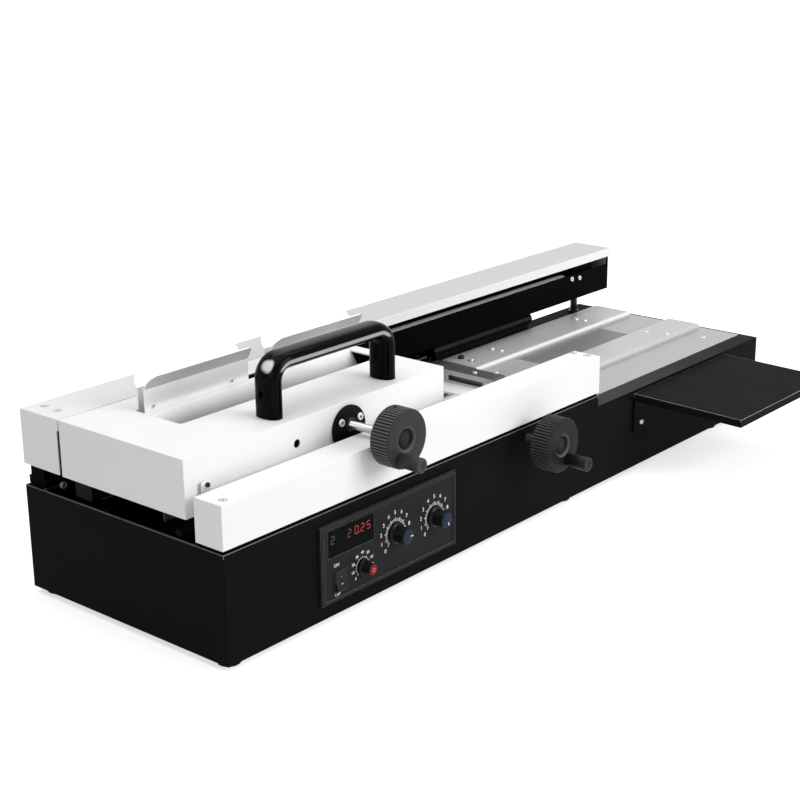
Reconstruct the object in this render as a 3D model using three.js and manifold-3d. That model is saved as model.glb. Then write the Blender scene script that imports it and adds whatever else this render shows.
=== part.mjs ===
// Desktop perfect binding machine: a clamp carriage slides along a rear beam from the book loading
// place, over the milling cutter and the glue roller, to a nip station that presses the cover on.
// Sizes are in millimetres. X runs along the machine from its left end, Y from the front wall to the
// back, and Z is up from the top edge of the base's left walls.

import * as THREE from 'three';
import { mergeVertices } from 'three/addons/utils/BufferGeometryUtils.js';
import Module from 'manifold-3d';

const wasm = await Module();
wasm.setup();

// Clearances, and the overrun of a cutting tool past the face that it cuts
const seat = 0.3;
const runClear = 0.4;
const overrun = 5;

// Base: a folded sheet chassis whose right part is a step lower and carries the nip station
const baseLength = 1028;
const baseDepth = 300;
const baseHeight = 116.5;
const baseSheet = 2;
const stepX = 630;
const stepDrop = 13.5;
const frontFlange = 25;
const backFlange = 28;
const bottomFlange = 32;
const ledgeWidth = 18;
const footRadius = 13;
const footFlare = 2;
const footHeight = 6.5;
const footInset = 18;
const footMiddleInset = 52;
const footRightInset = 98;

// Deck of the left part, and the table of the nip station in the right part
const deckDrop = 23;
const deckSheet = 3;
const tableSheet = 3;
const tableSlit = 2;
const tableMargin = 3;
const tableLedge = 8;

// Front bar: a sheet cover over a square support tube
const barDepth = 37.6;
const barBottom = 4;
const barTop = 50;
const barSheet = 1.5;
const barOverStep = 1;
const barTubeSheet = 2;

// Carriage cover and the clamp inside it
const coverSheet = 1.5;
const carriageLength = 391;
const carriageFront = 50;
const carriageGap = 2;
const carriageBottom = 23.6;
const carriageTop = 84.4;
const carriageLip = 14;
const pocketLeft = 70;
const pocketRightInset = 17;
const pocketDepth = 70;
const pocketBehindPlane = 3;
const pocketCorner = 4;
const clampSideInset = 2.25;
const frontHoleX = 154.3;
const frontHoleZ = 58.2;
const frontHoleRadius = 4.6;

// Jaws: the rear one is fixed in the carriage and its face is the plane of the book's back
const bookPlaneFromBack = 103;
const clampGap = 9;
const clampOpening = 30;
const jawBottom = 4;
const frontJawThick = 28;
const frontJawLedge = 11.2;
const frontJawShoulder = 66;
const frontJawSlope = 12;
const rearJawThick = 25;
const jawTenon = 3.7;
const tenonHeight = 15;
const tenonZ = 44;
const frameSheet = 8;
const frameStandoff = 4;
const frameSide = 10.5;
const frameInset = 5;
const frameBottom = 26;
const grooveSpare = 10;
const padWidth = 26;
const padX = 50;

// Guide plates on the jaws: bent sheets that flare apart above the cover
const guideSheet = 1.5;
const guideFoot = 60;
const guideFold = 109;
const guideTop = 123;
const guideFlare = 8.5;
const guideCorner = 22;
const guideCornerDrop = 11;
const guideLeftStart = 73;
const guideLeftEnd = 221;
const guideRightLength = 144;
const guideRightOverhang = 10;
const guideEndLean = 6;
const guideEndCorner = 8;

// Beam at the back: a sheet cover over a channel that opens to the front
const beamEndInset = 15;
const beamDepth = 61.5;
const beamBackInset = 0.5;
const beamLip = 12;
const beamEndSetBack = 2.5;
const beamBottom = 24;
const channelSheet = 2;
const channelEndHeight = 14;
const channelFrontTop = 60.7;
const endFaceBottom = 38;
const shaftRadius = 10;
const shaftFromBack = 33.5;
const shaftZ = 45;
const shaftStart = 7;
const supportWidth = 16;
const supportRightInset = 59;
const supportRightWidth = 46;
const supportDepth = 40;
const bushWidth = 50;
const bushLeftX = 24;
const bushRightInset = 91;
const bushBottom = 27;
const bushTopClear = 0.5;
const bushBackInset = 15.5;
const bracketLength = 44;
const bracketStepLength = 34;
const bracketDepth = 30;
const bracketStepDepth = 22;
const bracketStepZ = 9;
const bracketInset = 6;
const postInset = 29;
const postRadius = 5;
const postFootRadius = 8;
const postFootHeight = 3;
const stopBarMargin = 18;
const stopBarEndInset = 160;
const stopBarRadius = 8;
const stopBarFoot = 5;
const stopBarFootInset = 6;
const stopBarRise = 6;

// Nip station
const nipThick = 8;
const nipNose = 6;
const nipMargin = 15;
const rearNipEndInset = 18;
const rearNipDepth = 61;
const frontNipEndInset = 15;
const frontNipDepth = 55;
const nipLip = 3;
const nipTravel = 50;
const keyWidth = 8;
const keyDepth = 5;
const keyHead = 16;
const keyHeadHeight = 3;
const keyMargin = 70;
const keyEndInset = 63;
const tongueDepth = 14;
const platenMargin = 102;
const platenEndInset = 98;
const platenDepth = 97;
const platenSlit = 0.6;
const platenFlange = 12;
const stationBefore = 16;
const stationPast = 11;
const stationBeforePlane = 47;
const stationBehindPlane = 65;
const stationSheet = 2.5;
const stationSlotFrontInset = 15;
const stationSlotBackInset = 40;
const stationSlotHeight = 7;

// Hand wheels, their cranks and the screws that they turn
const wheelRadius = 32;
const wheelThick = 24;
const wheelRibs = 56;
const ribDepth = 1.4;
const ribPitchShares = [0, 0.45, 0.55, 0.9];
const ribDepthShares = [0, 0, 1, 1];
const wheelShoulder = 1.4;
const wheelRecessMouth = 13.5;
const wheelRecessRadius = 9.5;
const wheelRecessDepth = 4;
const wheelWeb = 4;
const crankRadius = 7.2;
const crankEndRadius = 8.2;
const crankEndChamfer = 0.8;
const crankLength = 28.5;
const crankOffset = 22;
const crankPinRadius = 2.7;
const crankPinLength = 9;
const screwRadius = 4.5;
const threadRadius = 5;
const screwX = 231.9;
const screwZ = 59.3;
const clampWheelFace = -31;
const clampThreadStart = 30;
const clampScrewDepth = 12;
const clampCrankAngle = -119.6;
const nutFlangeRadius = 24.5;
const nutFlangeShiftX = 1.5;
const nutFlangeShiftZ = 3.5;
const nutFlangeThick = 3.7;
const nutBossRadius = 10;
const nipScrewX = 483.5;
const nipScrewZ = -13;
const nipWheelFace = -50;
const nipScrewPast = 52;
const nipCrankAngle = -62;
const nutWidth = 25;
const nutStep = 16;
const nutHeight = 17;

// Handle on the carriage
const handleLeftX = 143;
const handleRightInset = 73;
const handlePlaceShare = 0.3375;
const handleTop = 151.5;
const handleThick = 19.5;
const handleWidth = 31.5;
const handleBend = 19;
const bendSteps = 6;

// Loading place, milling cutter and glue unit
const joggerStart = 60;
const joggerEndInset = 6;
const joggerBeforePlane = 47;
const joggerBehindPlane = 53;
const joggerSheet = 3;
const joggerDrop = 0.5;
const railFront = 64;
const railWidth = 8;
const railTop = 6;
const railEndInset = 2;
const cutterX = 425;
const cutterRadius = 27;
const cutterTeeth = 12;
const toothPitchShares = [0, 0.3, 0.42, 0.85];
const toothDepthShares = [0, 0.1, 1, 1];
const toothDepth = 3.5;
const cutterThick = 5;
const spindleRadius = 5;
const spindleLength = 58;
const cutterHole = 15;
const motorRadius = 25;
const motorFlangeRadius = 28;
const motorFlangeThick = 3;
const motorStand = 13.9;
const tankStart = 455;
const tankEnd = 550;
const tankShelf = 33;
const tankBeforePlane = 45;
const tankBehindPlane = 55;
const tankWall = 3;
const tankDepth = 60;
const tankRim = 8;
const tankFlange = 8;
const tankFlangeThick = 2;
const heaterThick = 6;
const rollerX = 520;
const rollerRadius = 23.5;
const rollerShaft = 5;
const rollerStub = 6;
const gearWidth = 46;
const gearBackInset = 20;
const gearBottom = -45;
const gearTop = -3;
const gearEar = 10;
const gearEarThick = 3;

// Control panel, its board, knobs and rocker
const panelLeft = 129;
const panelLength = 216;
const panelHeight = 87;
const panelRise = 1.75;
const panelThick = 4.7;
const panelRecess = 1.5;
const panelBorder = 4;
const panelBevel = 1.5;
const windowInset = 6;
const displayInset = 10.2;
const displayLength = 70.6;
const displayDrop = 7.2;
const displayHeight = 30;
const lowRowDrop = 65.7;
const rockerInset = 28;
const rockerWidth = 16;
const rockerHeight = 20;
const rockerGap = 0.9;
const rockerTilt = 8;
const rockerRise = 3;
const rockerPivot = -1;
const rockerBack = 2.5;
const boardInset = 9;
const boardDrop = 4;
const boardY = 7;
const boardThick = 1.6;
const potRadius = 8;
const potBore = 3.4;
const potBoreDepth = 5;
const knobShaft = 3;
const bigKnobRadius = 12;
const bigKnobLength = 18;
const smallKnobRadius = 8.5;
const smallKnobLength = 15;
const knobSkirt = 3;
const knobTaperShare = 0.72;
const heatKnobInset = 62;
const heatKnobDrop = 61.6;
const leftDialInset = 114.5;
const leftDialDrop = 41.2;
const rightDialInset = 179.5;
const rightDialDrop = 43;

// Front leaf that carries the cover sheet
const leafMargin = 81;
const leafEndInset = 90;
const leafReach = 152;
const leafSheet = 2;
const leafHem = 9.7;
const leafRoot = -17.5;
const leafFall = 3.5;
const leafApron = 52;

// Electrics at the back and on the floor
const inletX = 75;
const inletZ = -62;
const inletWidth = 26;
const inletHeight = 20;
const inletFlange = 6;
const inletFlangeThick = 2.2;
const inletDepth = 18;
const inletWall = 2;
const ventStart = 190;
const ventDepth = 52;
const ventBackInset = 48;
const ventCount = 10;
const ventPitch = 14;
const ventWidth = 5;

// Levels and places that follow from the sizes above
const deckTop = -deckDrop;
const deckUnder = deckTop - deckSheet;
const tableTop = -stepDrop;
const tableUnder = tableTop - tableSheet;
const nipTop = tableTop + nipThick;
const floorTop = -baseHeight + baseSheet + seat + baseSheet;
const beamLength = baseLength - beamEndInset;
const beamBack = baseDepth - beamBackInset;
const beamFront = beamBack - beamDepth;
const shaftY = beamBack - shaftFromBack;
const supportRightX = beamLength - supportRightInset;
const carriageBack = beamFront - carriageGap;
const bookPlane = baseDepth - bookPlaneFromBack;
const pocketRight = carriageLength - pocketRightInset;
const pocketBack = bookPlane + pocketBehindPlane;
const pocketFront = pocketBack - pocketDepth;
const handleY = carriageFront + (pocketFront - carriageFront) * handlePlaceShare;
const handleRightX = carriageLength - handleRightInset;
const jawFace = bookPlane - clampGap;
const frontJawFront = jawFace - frontJawThick;
const jawTop = carriageTop;
const coverUnder = carriageTop - coverSheet;
const frameFront = carriageFront + frameStandoff;
const frameRight = carriageLength - frameInset;
const clampLeft = pocketLeft - clampSideInset;
const clampRight = pocketRight + coverSheet;
const backWall = baseDepth - baseSheet;
const stationStart = stepX - stationBefore;
const frontNipFront = bookPlane - clampGap - nipTravel - frontNipDepth;
const platenStart = stepX + platenMargin;
const platenEnd = baseLength - platenEndInset;
const platenFront = bookPlane - platenDepth;
const keySites = [stepX + keyMargin, baseLength - keyEndInset];
const tankFront = bookPlane - tankBeforePlane;
const tankBack = bookPlane + tankBehindPlane;
const gearBack = baseDepth - gearBackInset;
const panelRight = panelLeft + panelLength;
const panelTop = (panelHeight - baseHeight) / 2 + panelRise;
const panelBottom = panelTop - panelHeight;
const displayLeft = panelLeft + displayInset;
const displayRight = displayLeft + displayLength;
const displayTop = panelTop - displayDrop;
const displayBottom = displayTop - displayHeight;
const rockerX = panelLeft + rockerInset;
const rockerZ = panelTop - lowRowDrop;
const boardTop = deckUnder - boardDrop;
const bigKnob = { radius: bigKnobRadius, length: bigKnobLength };
const smallKnob = { radius: smallKnobRadius, length: smallKnobLength };
const knobSites = [
  { name: 'heat_knob', x: panelLeft + heatKnobInset, z: panelTop - heatKnobDrop, ...smallKnob },
  { name: 'dial_knob_left', x: panelLeft + leftDialInset, z: panelTop - leftDialDrop, ...bigKnob },
  { name: 'dial_knob_right', x: panelLeft + rightDialInset, z: panelTop - rightDialDrop, ...bigKnob },
];

const colours = {
  black: { color: 0x1b1b1c, roughness: 0.5, metalness: 0.1 },
  white: { color: 0xf1f1ef, roughness: 0.45, metalness: 0.0 },
  steel: { color: 0xb9bcc0, roughness: 0.3, metalness: 0.9 },
  bright: { color: 0xd9dbdd, roughness: 0.12, metalness: 1.0 },
  dark: { color: 0x4a4c50, roughness: 0.4, metalness: 0.8 },
  gloss: { color: 0x0a0a0b, roughness: 0.12, metalness: 0.0 },
  rubber: { color: 0x141414, roughness: 0.85, metalness: 0.0 },
  window: { color: 0x2a0606, roughness: 0.1, metalness: 0.0 },
  board: { color: 0x1f6a3a, roughness: 0.6, metalness: 0.0 },
};

// The root group shifts the machine's own axes to the middle of the footprint at floor level.
const machine = new THREE.Group();
const reach = leafReach;
const depthEnd = baseDepth + seat + inletFlangeThick;
machine.position.set(-baseLength / 2, -(depthEnd - reach) / 2, baseHeight + seat + footHeight);

// Adds one closed body to the machine as a named mesh.
function place(name, body, look) {
  const raw = body.getMesh();
  const geometry = new THREE.BufferGeometry();
  geometry.setAttribute('position', new THREE.BufferAttribute(raw.vertProperties, 3));
  geometry.setIndex(new THREE.BufferAttribute(raw.triVerts, 1));
  geometry.computeVertexNormals();
  const mesh = new THREE.Mesh(geometry, new THREE.MeshStandardMaterial(colours[look]));
  mesh.name = name;
  machine.add(mesh);
}

// Turns a closed three.js geometry into a solid, without the flat triangles at a lathe's poles.
function solid(geometry) {
  geometry.deleteAttribute('normal');
  geometry.deleteAttribute('uv');
  const merged = mergeVertices(geometry);
  const corners = Array.from(merged.index.array);
  const kept = [];
  for (let i = 0; i < corners.length; i += 3) {
    const [a, b, c] = corners.slice(i, i + 3);
    if (a !== b && b !== c && c !== a) kept.push(a, b, c);
  }
  const triVerts = new Uint32Array(kept);
  const vertProperties = merged.attributes.position.array;
  return new wasm.Manifold(new wasm.Mesh({ numProp: 3, vertProperties, triVerts }));
}

function box(x0, x1, y0, y1, z0, z1) {
  const block = new THREE.BoxGeometry(x1 - x0, y1 - y0, z1 - z0);
  block.translate((x0 + x1) / 2, (y0 + y1) / 2, (z0 + z1) / 2);
  return solid(block);
}

// A cylinder along one axis, from a start point, with the given length.
function rod(axis, radius, start, length, sides = 32) {
  const barrel = new THREE.CylinderGeometry(radius, radius, length, sides);
  barrel.translate(0, length / 2, 0);
  if (axis === 'x') barrel.rotateZ(-Math.PI / 2);
  if (axis === 'z') barrel.rotateX(Math.PI / 2);
  barrel.translate(...start);
  return solid(barrel);
}

function outline(points) {
  return new THREE.Shape(points.map(([u, v]) => new THREE.Vector2(u, v)));
}

// Prisms of a section: along X the section is (y, z), along Y it is (x, z), along Z it is (x, y).
function prismX(shape, x0, x1) {
  const bar = new THREE.ExtrudeGeometry(shape, { depth: x1 - x0, bevelEnabled: false, curveSegments: 8 });
  bar.applyMatrix4(new THREE.Matrix4().set(0, 0, 1, x0, 1, 0, 0, 0, 0, 1, 0, 0, 0, 0, 0, 1));
  return solid(bar);
}

function prismY(shape, y0, y1) {
  const slab = new THREE.ExtrudeGeometry(shape, { depth: y1 - y0, bevelEnabled: false, curveSegments: 8 });
  slab.rotateX(Math.PI / 2);
  slab.translate(0, y1, 0);
  return solid(slab);
}

function prismZ(shape, z0, z1) {
  const slab = new THREE.ExtrudeGeometry(shape, { depth: z1 - z0, bevelEnabled: false, curveSegments: 6 });
  slab.translate(0, 0, z0);
  return solid(slab);
}

// A turned piece: the profile lists (radius, distance along the axis) from the axis and back to it.
function turned(axis, profile, centre, sides = 36) {
  const lathe = new THREE.LatheGeometry(profile.map(([r, d]) => new THREE.Vector2(r, d)), sides);
  if (axis === 'x') lathe.rotateZ(-Math.PI / 2);
  if (axis === 'z') lathe.rotateX(Math.PI / 2);
  lathe.translate(...centre);
  return solid(lathe);
}

function roundedRectangle(x0, x1, y0, y1, r) {
  const shape = new THREE.Shape();
  shape.moveTo(x0 + r, y0);
  shape.lineTo(x1 - r, y0);
  shape.absarc(x1 - r, y0 + r, r, -Math.PI / 2, 0);
  shape.lineTo(x1, y1 - r);
  shape.absarc(x1 - r, y1 - r, r, 0, Math.PI / 2);
  shape.lineTo(x0 + r, y1);
  shape.absarc(x0 + r, y1 - r, r, Math.PI / 2, Math.PI);
  shape.lineTo(x0, y0 + r);
  shape.absarc(x0 + r, y0 + r, r, Math.PI, 1.5 * Math.PI);
  return shape;
}

// Chassis: four walls with folded flanges, ledges for the deck and the table, and cut-outs
function buildChassis() {
  const t = baseSheet;
  let body = box(0, t, 0, baseDepth, -baseHeight, 0);
  body = body.add(box(baseLength - t, baseLength, 0, baseDepth, -baseHeight, tableTop));
  for (const [y0, y1] of [[0, t], [backWall, baseDepth]]) {
    body = body.add(box(0, stepX, y0, y1, -baseHeight, 0));
    body = body.add(box(0, baseLength, y0, y1, -baseHeight, tableTop));
  }
  const flanges = [[0, frontFlange], [baseDepth - backFlange, baseDepth]];
  for (const [y0, y1] of flanges) {
    body = body.add(box(0, stepX, y0, y1, -t, 0));
    body = body.add(box(stepX, baseLength, y0, y1, tableTop - t, tableTop));
  }
  const ledges = [[0, ledgeWidth], [baseDepth - ledgeWidth, baseDepth]];
  for (const [y0, y1] of ledges) {
    body = body.add(box(0, stepX, y0, y1, deckUnder - seat - t, deckUnder - seat));
  }
  const reachIn = tableSlit + tableLedge;
  for (const [y0, y1] of [[0, frontFlange + reachIn], [baseDepth - backFlange - reachIn, baseDepth]]) {
    body = body.add(box(stepX + t, baseLength, y0, y1, tableUnder - seat - t, tableUnder - seat));
  }
  for (const [y0, y1] of [[0, bottomFlange], [baseDepth - bottomFlange, baseDepth]]) {
    body = body.add(box(0, baseLength, y0, y1, -baseHeight, -baseHeight + t));
  }
  const inset = windowInset;
  body = body.subtract(box(panelLeft + inset, panelRight - inset, -overrun, t + overrun,
    panelBottom + inset, panelTop - inset));
  body = body.subtract(rod('y', screwRadius + runClear, [nipScrewX, -overrun, nipScrewZ], 2 * overrun + t));
  const inletHalf = inletWidth / 2 + seat;
  const inletTall = inletHeight / 2 + seat;
  body = body.subtract(box(inletX - inletHalf, inletX + inletHalf, backWall - overrun, baseDepth + overrun,
    inletZ - inletTall, inletZ + inletTall));
  place('base_chassis', body, 'black');
}

function buildFloor() {
  const rim = baseSheet + seat;
  const z0 = -baseHeight + baseSheet + seat;
  const ventBack = baseDepth - ventBackInset;
  let plate = box(rim, baseLength - rim, rim, baseDepth - rim, z0, floorTop);
  for (let i = 0; i < ventCount; i += 1) {
    const x = ventStart + i * ventPitch;
    plate = plate.subtract(box(x, x + ventWidth, ventBack - ventDepth, ventBack,
      z0 - overrun, floorTop + overrun));
  }
  place('floor_plate', plate, 'black');
}

function buildFeet() {
  const places = { left: footInset, middle: stepX - footMiddleInset, right: baseLength - footRightInset };
  const sides = { front: footInset, rear: baseDepth - footInset };
  const z = -baseHeight - seat;
  for (const [column, x] of Object.entries(places)) {
    for (const [row, y] of Object.entries(sides)) {
      const profile = [[0, -footHeight], [footRadius - footFlare, -footHeight], [footRadius, 0], [0, 0]];
      const lathe = new THREE.LatheGeometry(profile.map(([r, d]) => new THREE.Vector2(r, d)), 20);
      lathe.rotateX(Math.PI / 2);
      lathe.translate(x, y, z);
      place(`foot_${row}_${column}`, solid(lathe), 'rubber');
    }
  }
}

// Deck of the left part, cut out for the glue tank, the gear motor and the cutter's spindle
function buildDeck() {
  const rim = baseSheet + seat;
  const gap = 2 * seat;
  let deck = box(rim, stepX, rim, baseDepth - rim, deckUnder, deckTop);
  deck = deck.subtract(box(tankStart - gap, tankEnd + gap, tankFront - gap, tankBack + gap,
    deckUnder - overrun, deckTop + overrun));
  deck = deck.subtract(rod('z', cutterHole, [cutterX, bookPlane, deckUnder - overrun],
    deckSheet + 2 * overrun));
  deck = deck.subtract(box(rollerX - gearWidth / 2 - gap, rollerX + gearWidth / 2 + gap, tankBack,
    gearBack + gap, deckUnder - overrun, deckTop + overrun));
  const stub = rollerShaft + gap;
  deck = deck.subtract(box(rollerX - stub, rollerX + stub, tankFront - rollerStub - gap, tankBack,
    deckUnder - overrun, deckTop + overrun));
  place('deck_plate', deck, 'white');
}

// Table of the nip station, with the opening for the platen and two slots for the moving plate's keys
function buildTable() {
  const x0 = stepX + tableMargin;
  const x1 = baseLength - baseSheet - tableMargin / 2;
  const y0 = frontFlange + tableSlit;
  const y1 = baseDepth - backFlange - tableSlit;
  let table = box(x0, x1, y0, y1, tableUnder, tableTop);
  table = table.subtract(box(platenStart, platenEnd, platenFront, bookPlane,
    tableUnder - overrun, tableTop + overrun));
  for (const x of keySites) {
    const half = keyWidth / 2 + runClear;
    const from = frontNipFront - runClear;
    const to = frontNipFront + keyDepth + nipTravel + runClear;
    table = table.subtract(box(x - half, x + half, from, to, tableUnder - overrun, tableTop + overrun));
  }
  place('table_plate', table, 'steel');
  const g = platenSlit;
  const flange = platenFlange;
  let platen = box(platenStart + g, platenEnd - g, platenFront + g, bookPlane - g, tableUnder, tableTop);
  platen = platen.add(box(platenStart - flange, platenEnd + flange, platenFront - flange, bookPlane + flange,
    tableUnder - seat - tableSheet, tableUnder - seat));
  platen = platen.add(box(platenStart + g, platenEnd - g, platenFront + g, bookPlane - g,
    tableUnder - seat - tableSheet, tableUnder));
  place('platen', platen, 'steel');
}

// Rear nip plate: a bar with a rolled nose along the book plane
function buildRearNip() {
  const z0 = tableTop + seat;
  const back = bookPlane + rearNipDepth;
  const section = new THREE.Shape();
  section.moveTo(bookPlane, z0);
  section.lineTo(back, z0);
  section.lineTo(back, nipTop);
  section.lineTo(bookPlane + nipNose, nipTop);
  section.quadraticCurveTo(bookPlane, nipTop, bookPlane, z0);
  place('rear_nip_plate', prismX(section, stepX + nipMargin, baseLength - rearNipEndInset), 'steel');
}

// Front nip plate: a bar with a tongue to the nut, two keys that run in the table's slots, and a nose
function buildFrontNip() {
  const z0 = tableTop + seat;
  const back = frontNipFront + frontNipDepth;
  const section = new THREE.Shape();
  section.moveTo(frontNipFront, z0);
  section.lineTo(back, z0);
  section.quadraticCurveTo(back, nipTop, back - nipNose, nipTop);
  section.lineTo(frontNipFront + nipLip, nipTop);
  section.lineTo(frontNipFront, nipTop - nipLip);
  const frontNipStart = stepX + nipMargin;
  let plate = prismX(section, frontNipStart, baseLength - frontNipEndInset);
  const nutEnd = nipScrewX + nutWidth / 2;
  const tongueBack = frontNipFront + tongueDepth;
  plate = plate.add(box(nutEnd, frontNipStart + overrun, frontNipFront, tongueBack, z0, nipTop));
  for (const x of keySites) {
    const y1 = frontNipFront + keyDepth;
    const headTop = tableUnder - seat - baseSheet - runClear;
    plate = plate.add(box(x - keyWidth / 2, x + keyWidth / 2, frontNipFront, y1, headTop, nipTop - nipLip));
    plate = plate.add(box(x - keyHead / 2, x + keyHead / 2, frontNipFront, y1,
      headTop - keyHeadHeight, headTop));
  }
  const nutTop = nipTop;
  const half = nutWidth / 2;
  let nut = box(nipScrewX - half, nipScrewX + half, frontNipFront, tongueBack, nutTop - nutHeight, nutTop);
  nut = nut.add(box(nipScrewX, nutEnd + nutStep, frontNipFront, tongueBack, nutTop - nutHeight, z0 - seat));
  plate = plate.add(nut);
  plate = plate.add(box(nutEnd, nutEnd + nutStep, frontNipFront, tongueBack, nutTop - nutHeight, z0));
  plate = plate.subtract(rod('y', threadRadius + runClear, [nipScrewX, frontNipFront - overrun, nipScrewZ],
    tongueDepth + 2 * overrun));
  place('front_nip_plate', plate, 'steel');
}

// Bracket at the station's left end: a slotted upright with a top flange
function buildStationBracket() {
  const z0 = deckTop + seat;
  const t = stationSheet;
  const y0 = bookPlane - stationBeforePlane;
  const y1 = bookPlane + stationBehindPlane;
  let bracket = box(stationStart, stationStart + t, y0, y1, z0, nipTop);
  bracket = bracket.add(box(stationStart, stepX + stationPast, y0, y1, nipTop - t, nipTop));
  const mid = (z0 + nipTop - t) / 2;
  bracket = bracket.subtract(box(stationStart - overrun, stationStart + t + overrun,
    y0 + stationSlotFrontInset, y1 - stationSlotBackInset,
    mid - stationSlotHeight / 2, mid + stationSlotHeight / 2));
  place('station_bracket', bracket, 'dark');
}

function buildFrontBar() {
  const x1 = stepX + barOverStep;
  const t = barSheet;
  let cover = box(0, x1, 0, barDepth, barBottom, barTop);
  cover = cover.subtract(box(t, x1 - t, t, barDepth - t, barBottom - overrun, barTop - t));
  place('front_bar_cover', cover, 'white');
  const y0 = t + seat;
  const y1 = barDepth - t - seat;
  const z1 = barTop - t - seat;
  const w = barTubeSheet;
  let tube = box(t + seat, stepX - t - seat, y0, y1, seat, z1);
  tube = tube.subtract(box(-overrun, x1 + overrun, y0 + w, y1 - w, seat + w, z1 - w));
  place('front_bar_support', tube, 'black');
}

// Beam: sheet cover, open channel, guide shaft and the pieces that carry them
function buildBeam() {
  const t = coverSheet;
  let cover = box(0, beamLength, beamFront, beamBack, beamBottom, carriageTop);
  cover = cover.subtract(box(t, beamLength - t, beamFront + t, beamBack - t,
    beamBottom - overrun, coverUnder));
  cover = cover.subtract(box(t, beamLength + overrun, beamFront - overrun, beamFront + 2 * t,
    beamBottom - overrun, carriageTop - beamLip));
  cover = cover.subtract(box(-overrun, 2 * t, beamFront - overrun, beamFront + beamEndSetBack,
    beamBottom - overrun, carriageTop - beamLip));
  cover = cover.subtract(box(beamLength - 2 * t, beamLength + overrun, beamFront - overrun, beamBack - t,
    beamBottom - overrun, endFaceBottom));
  place('beam_cover', cover, 'white');
  const c = channelSheet;
  const x0 = t + seat;
  const x1 = beamLength - t - seat;
  const y0 = beamFront + t + seat;
  const y1 = beamBack - t - seat;
  const z1 = coverUnder - seat;
  let channel = box(x0, x1, y0, y1, beamBottom, z1);
  channel = channel.subtract(box(x0 + c, x1 - c, y0 + c, y1 - c, beamBottom + c, z1 - c));
  channel = channel.subtract(box(x0 + c, x1 - c, y0 - overrun, y1 - c, channelFrontTop, z1 - c));
  channel = channel.subtract(box(x1 - 2 * c, x1 + overrun, y0 + c, y1 - c,
    beamBottom + channelEndHeight, z1 - c));
  place('beam_channel', channel, 'black');
  const shaftEnd = supportRightX + supportRightWidth / 2;
  place('guide_shaft', rod('x', shaftRadius, [shaftStart, shaftY, shaftZ], shaftEnd - shaftStart), 'bright');
  const supports = {
    shaft_support_left: [shaftStart - seat, shaftStart - seat + supportWidth],
    shaft_support_right: [supportRightX - supportRightWidth / 2, supportRightX + supportRightWidth / 2],
  };
  for (const [name, [sx0, sx1]] of Object.entries(supports)) {
    let block = box(sx0, sx1, shaftY - supportDepth / 2, y1 - c - seat, beamBottom + c + seat, bushTop());
    block = block.subtract(rod('x', shaftRadius + seat, [sx0 - overrun, shaftY, shaftZ],
      sx1 - sx0 + 2 * overrun));
    place(name, block, 'dark');
  }
}

function buildBeamCarriers() {
  const top = beamBottom - seat;
  const yMid = baseDepth - backFlange / 2;
  const x0 = bracketInset;
  let bracket = box(x0, x0 + bracketLength, yMid - bracketDepth / 2, yMid + bracketDepth / 2 - seat,
    seat, bracketStepZ);
  bracket = bracket.add(box(x0, x0 + bracketStepLength,
    yMid - bracketStepDepth / 2, yMid + bracketStepDepth / 2,
    bracketStepZ - seat, top));
  place('beam_bracket_left', bracket, 'black');
  const postY = baseDepth - backFlange + postFootRadius + seat;
  const z0 = tableTop + seat;
  const postX = beamLength - postInset;
  let post = rod('z', postRadius, [postX, postY, z0], top - z0, 24);
  post = post.add(rod('z', postFootRadius, [postX, postY, z0], postFootHeight, 24));
  place('beam_post_right', post, 'bright');
  const r = stopBarRadius;
  const barZ = z0 + r + stopBarRise;
  const start = stepX + stopBarMargin;
  const end = baseLength - stopBarEndInset;
  let bar = rod('x', r, [start, postY, barZ], end - start, 20);
  bar = bar.add(box(start + stopBarFootInset, end - stopBarFootInset,
    postY - stopBarFoot, postY + stopBarFoot, z0, barZ));
  place('cover_stop_bar', bar, 'black');
}

// Carriage cover: a sheet box open below, with the pocket over the jaws and holes in its front wall
function buildCarriageCover() {
  const t = coverSheet;
  let cover = box(0, carriageLength, carriageFront, carriageBack, carriageBottom, carriageTop);
  cover = cover.subtract(box(t, carriageLength - t, carriageFront + t, carriageBack - t,
    carriageBottom - overrun, coverUnder));
  cover = cover.subtract(box(t, carriageLength - t, carriageBack - 2 * t, carriageBack + overrun,
    carriageBottom - overrun, carriageTop - carriageLip));
  const pocket = roundedRectangle(pocketLeft, pocketRight, pocketFront, pocketBack, pocketCorner);
  cover = cover.subtract(prismZ(pocket, coverUnder - overrun, carriageTop + overrun));
  const through = [carriageFront - overrun, 2 * overrun + t];
  cover = cover.subtract(rod('y', nutBossRadius + seat, [screwX, through[0], screwZ], through[1]));
  cover = cover.subtract(rod('y', frontHoleRadius, [frontHoleX, through[0], frontHoleZ], through[1], 20));
  place('carriage_cover', cover, 'white');
}

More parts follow.
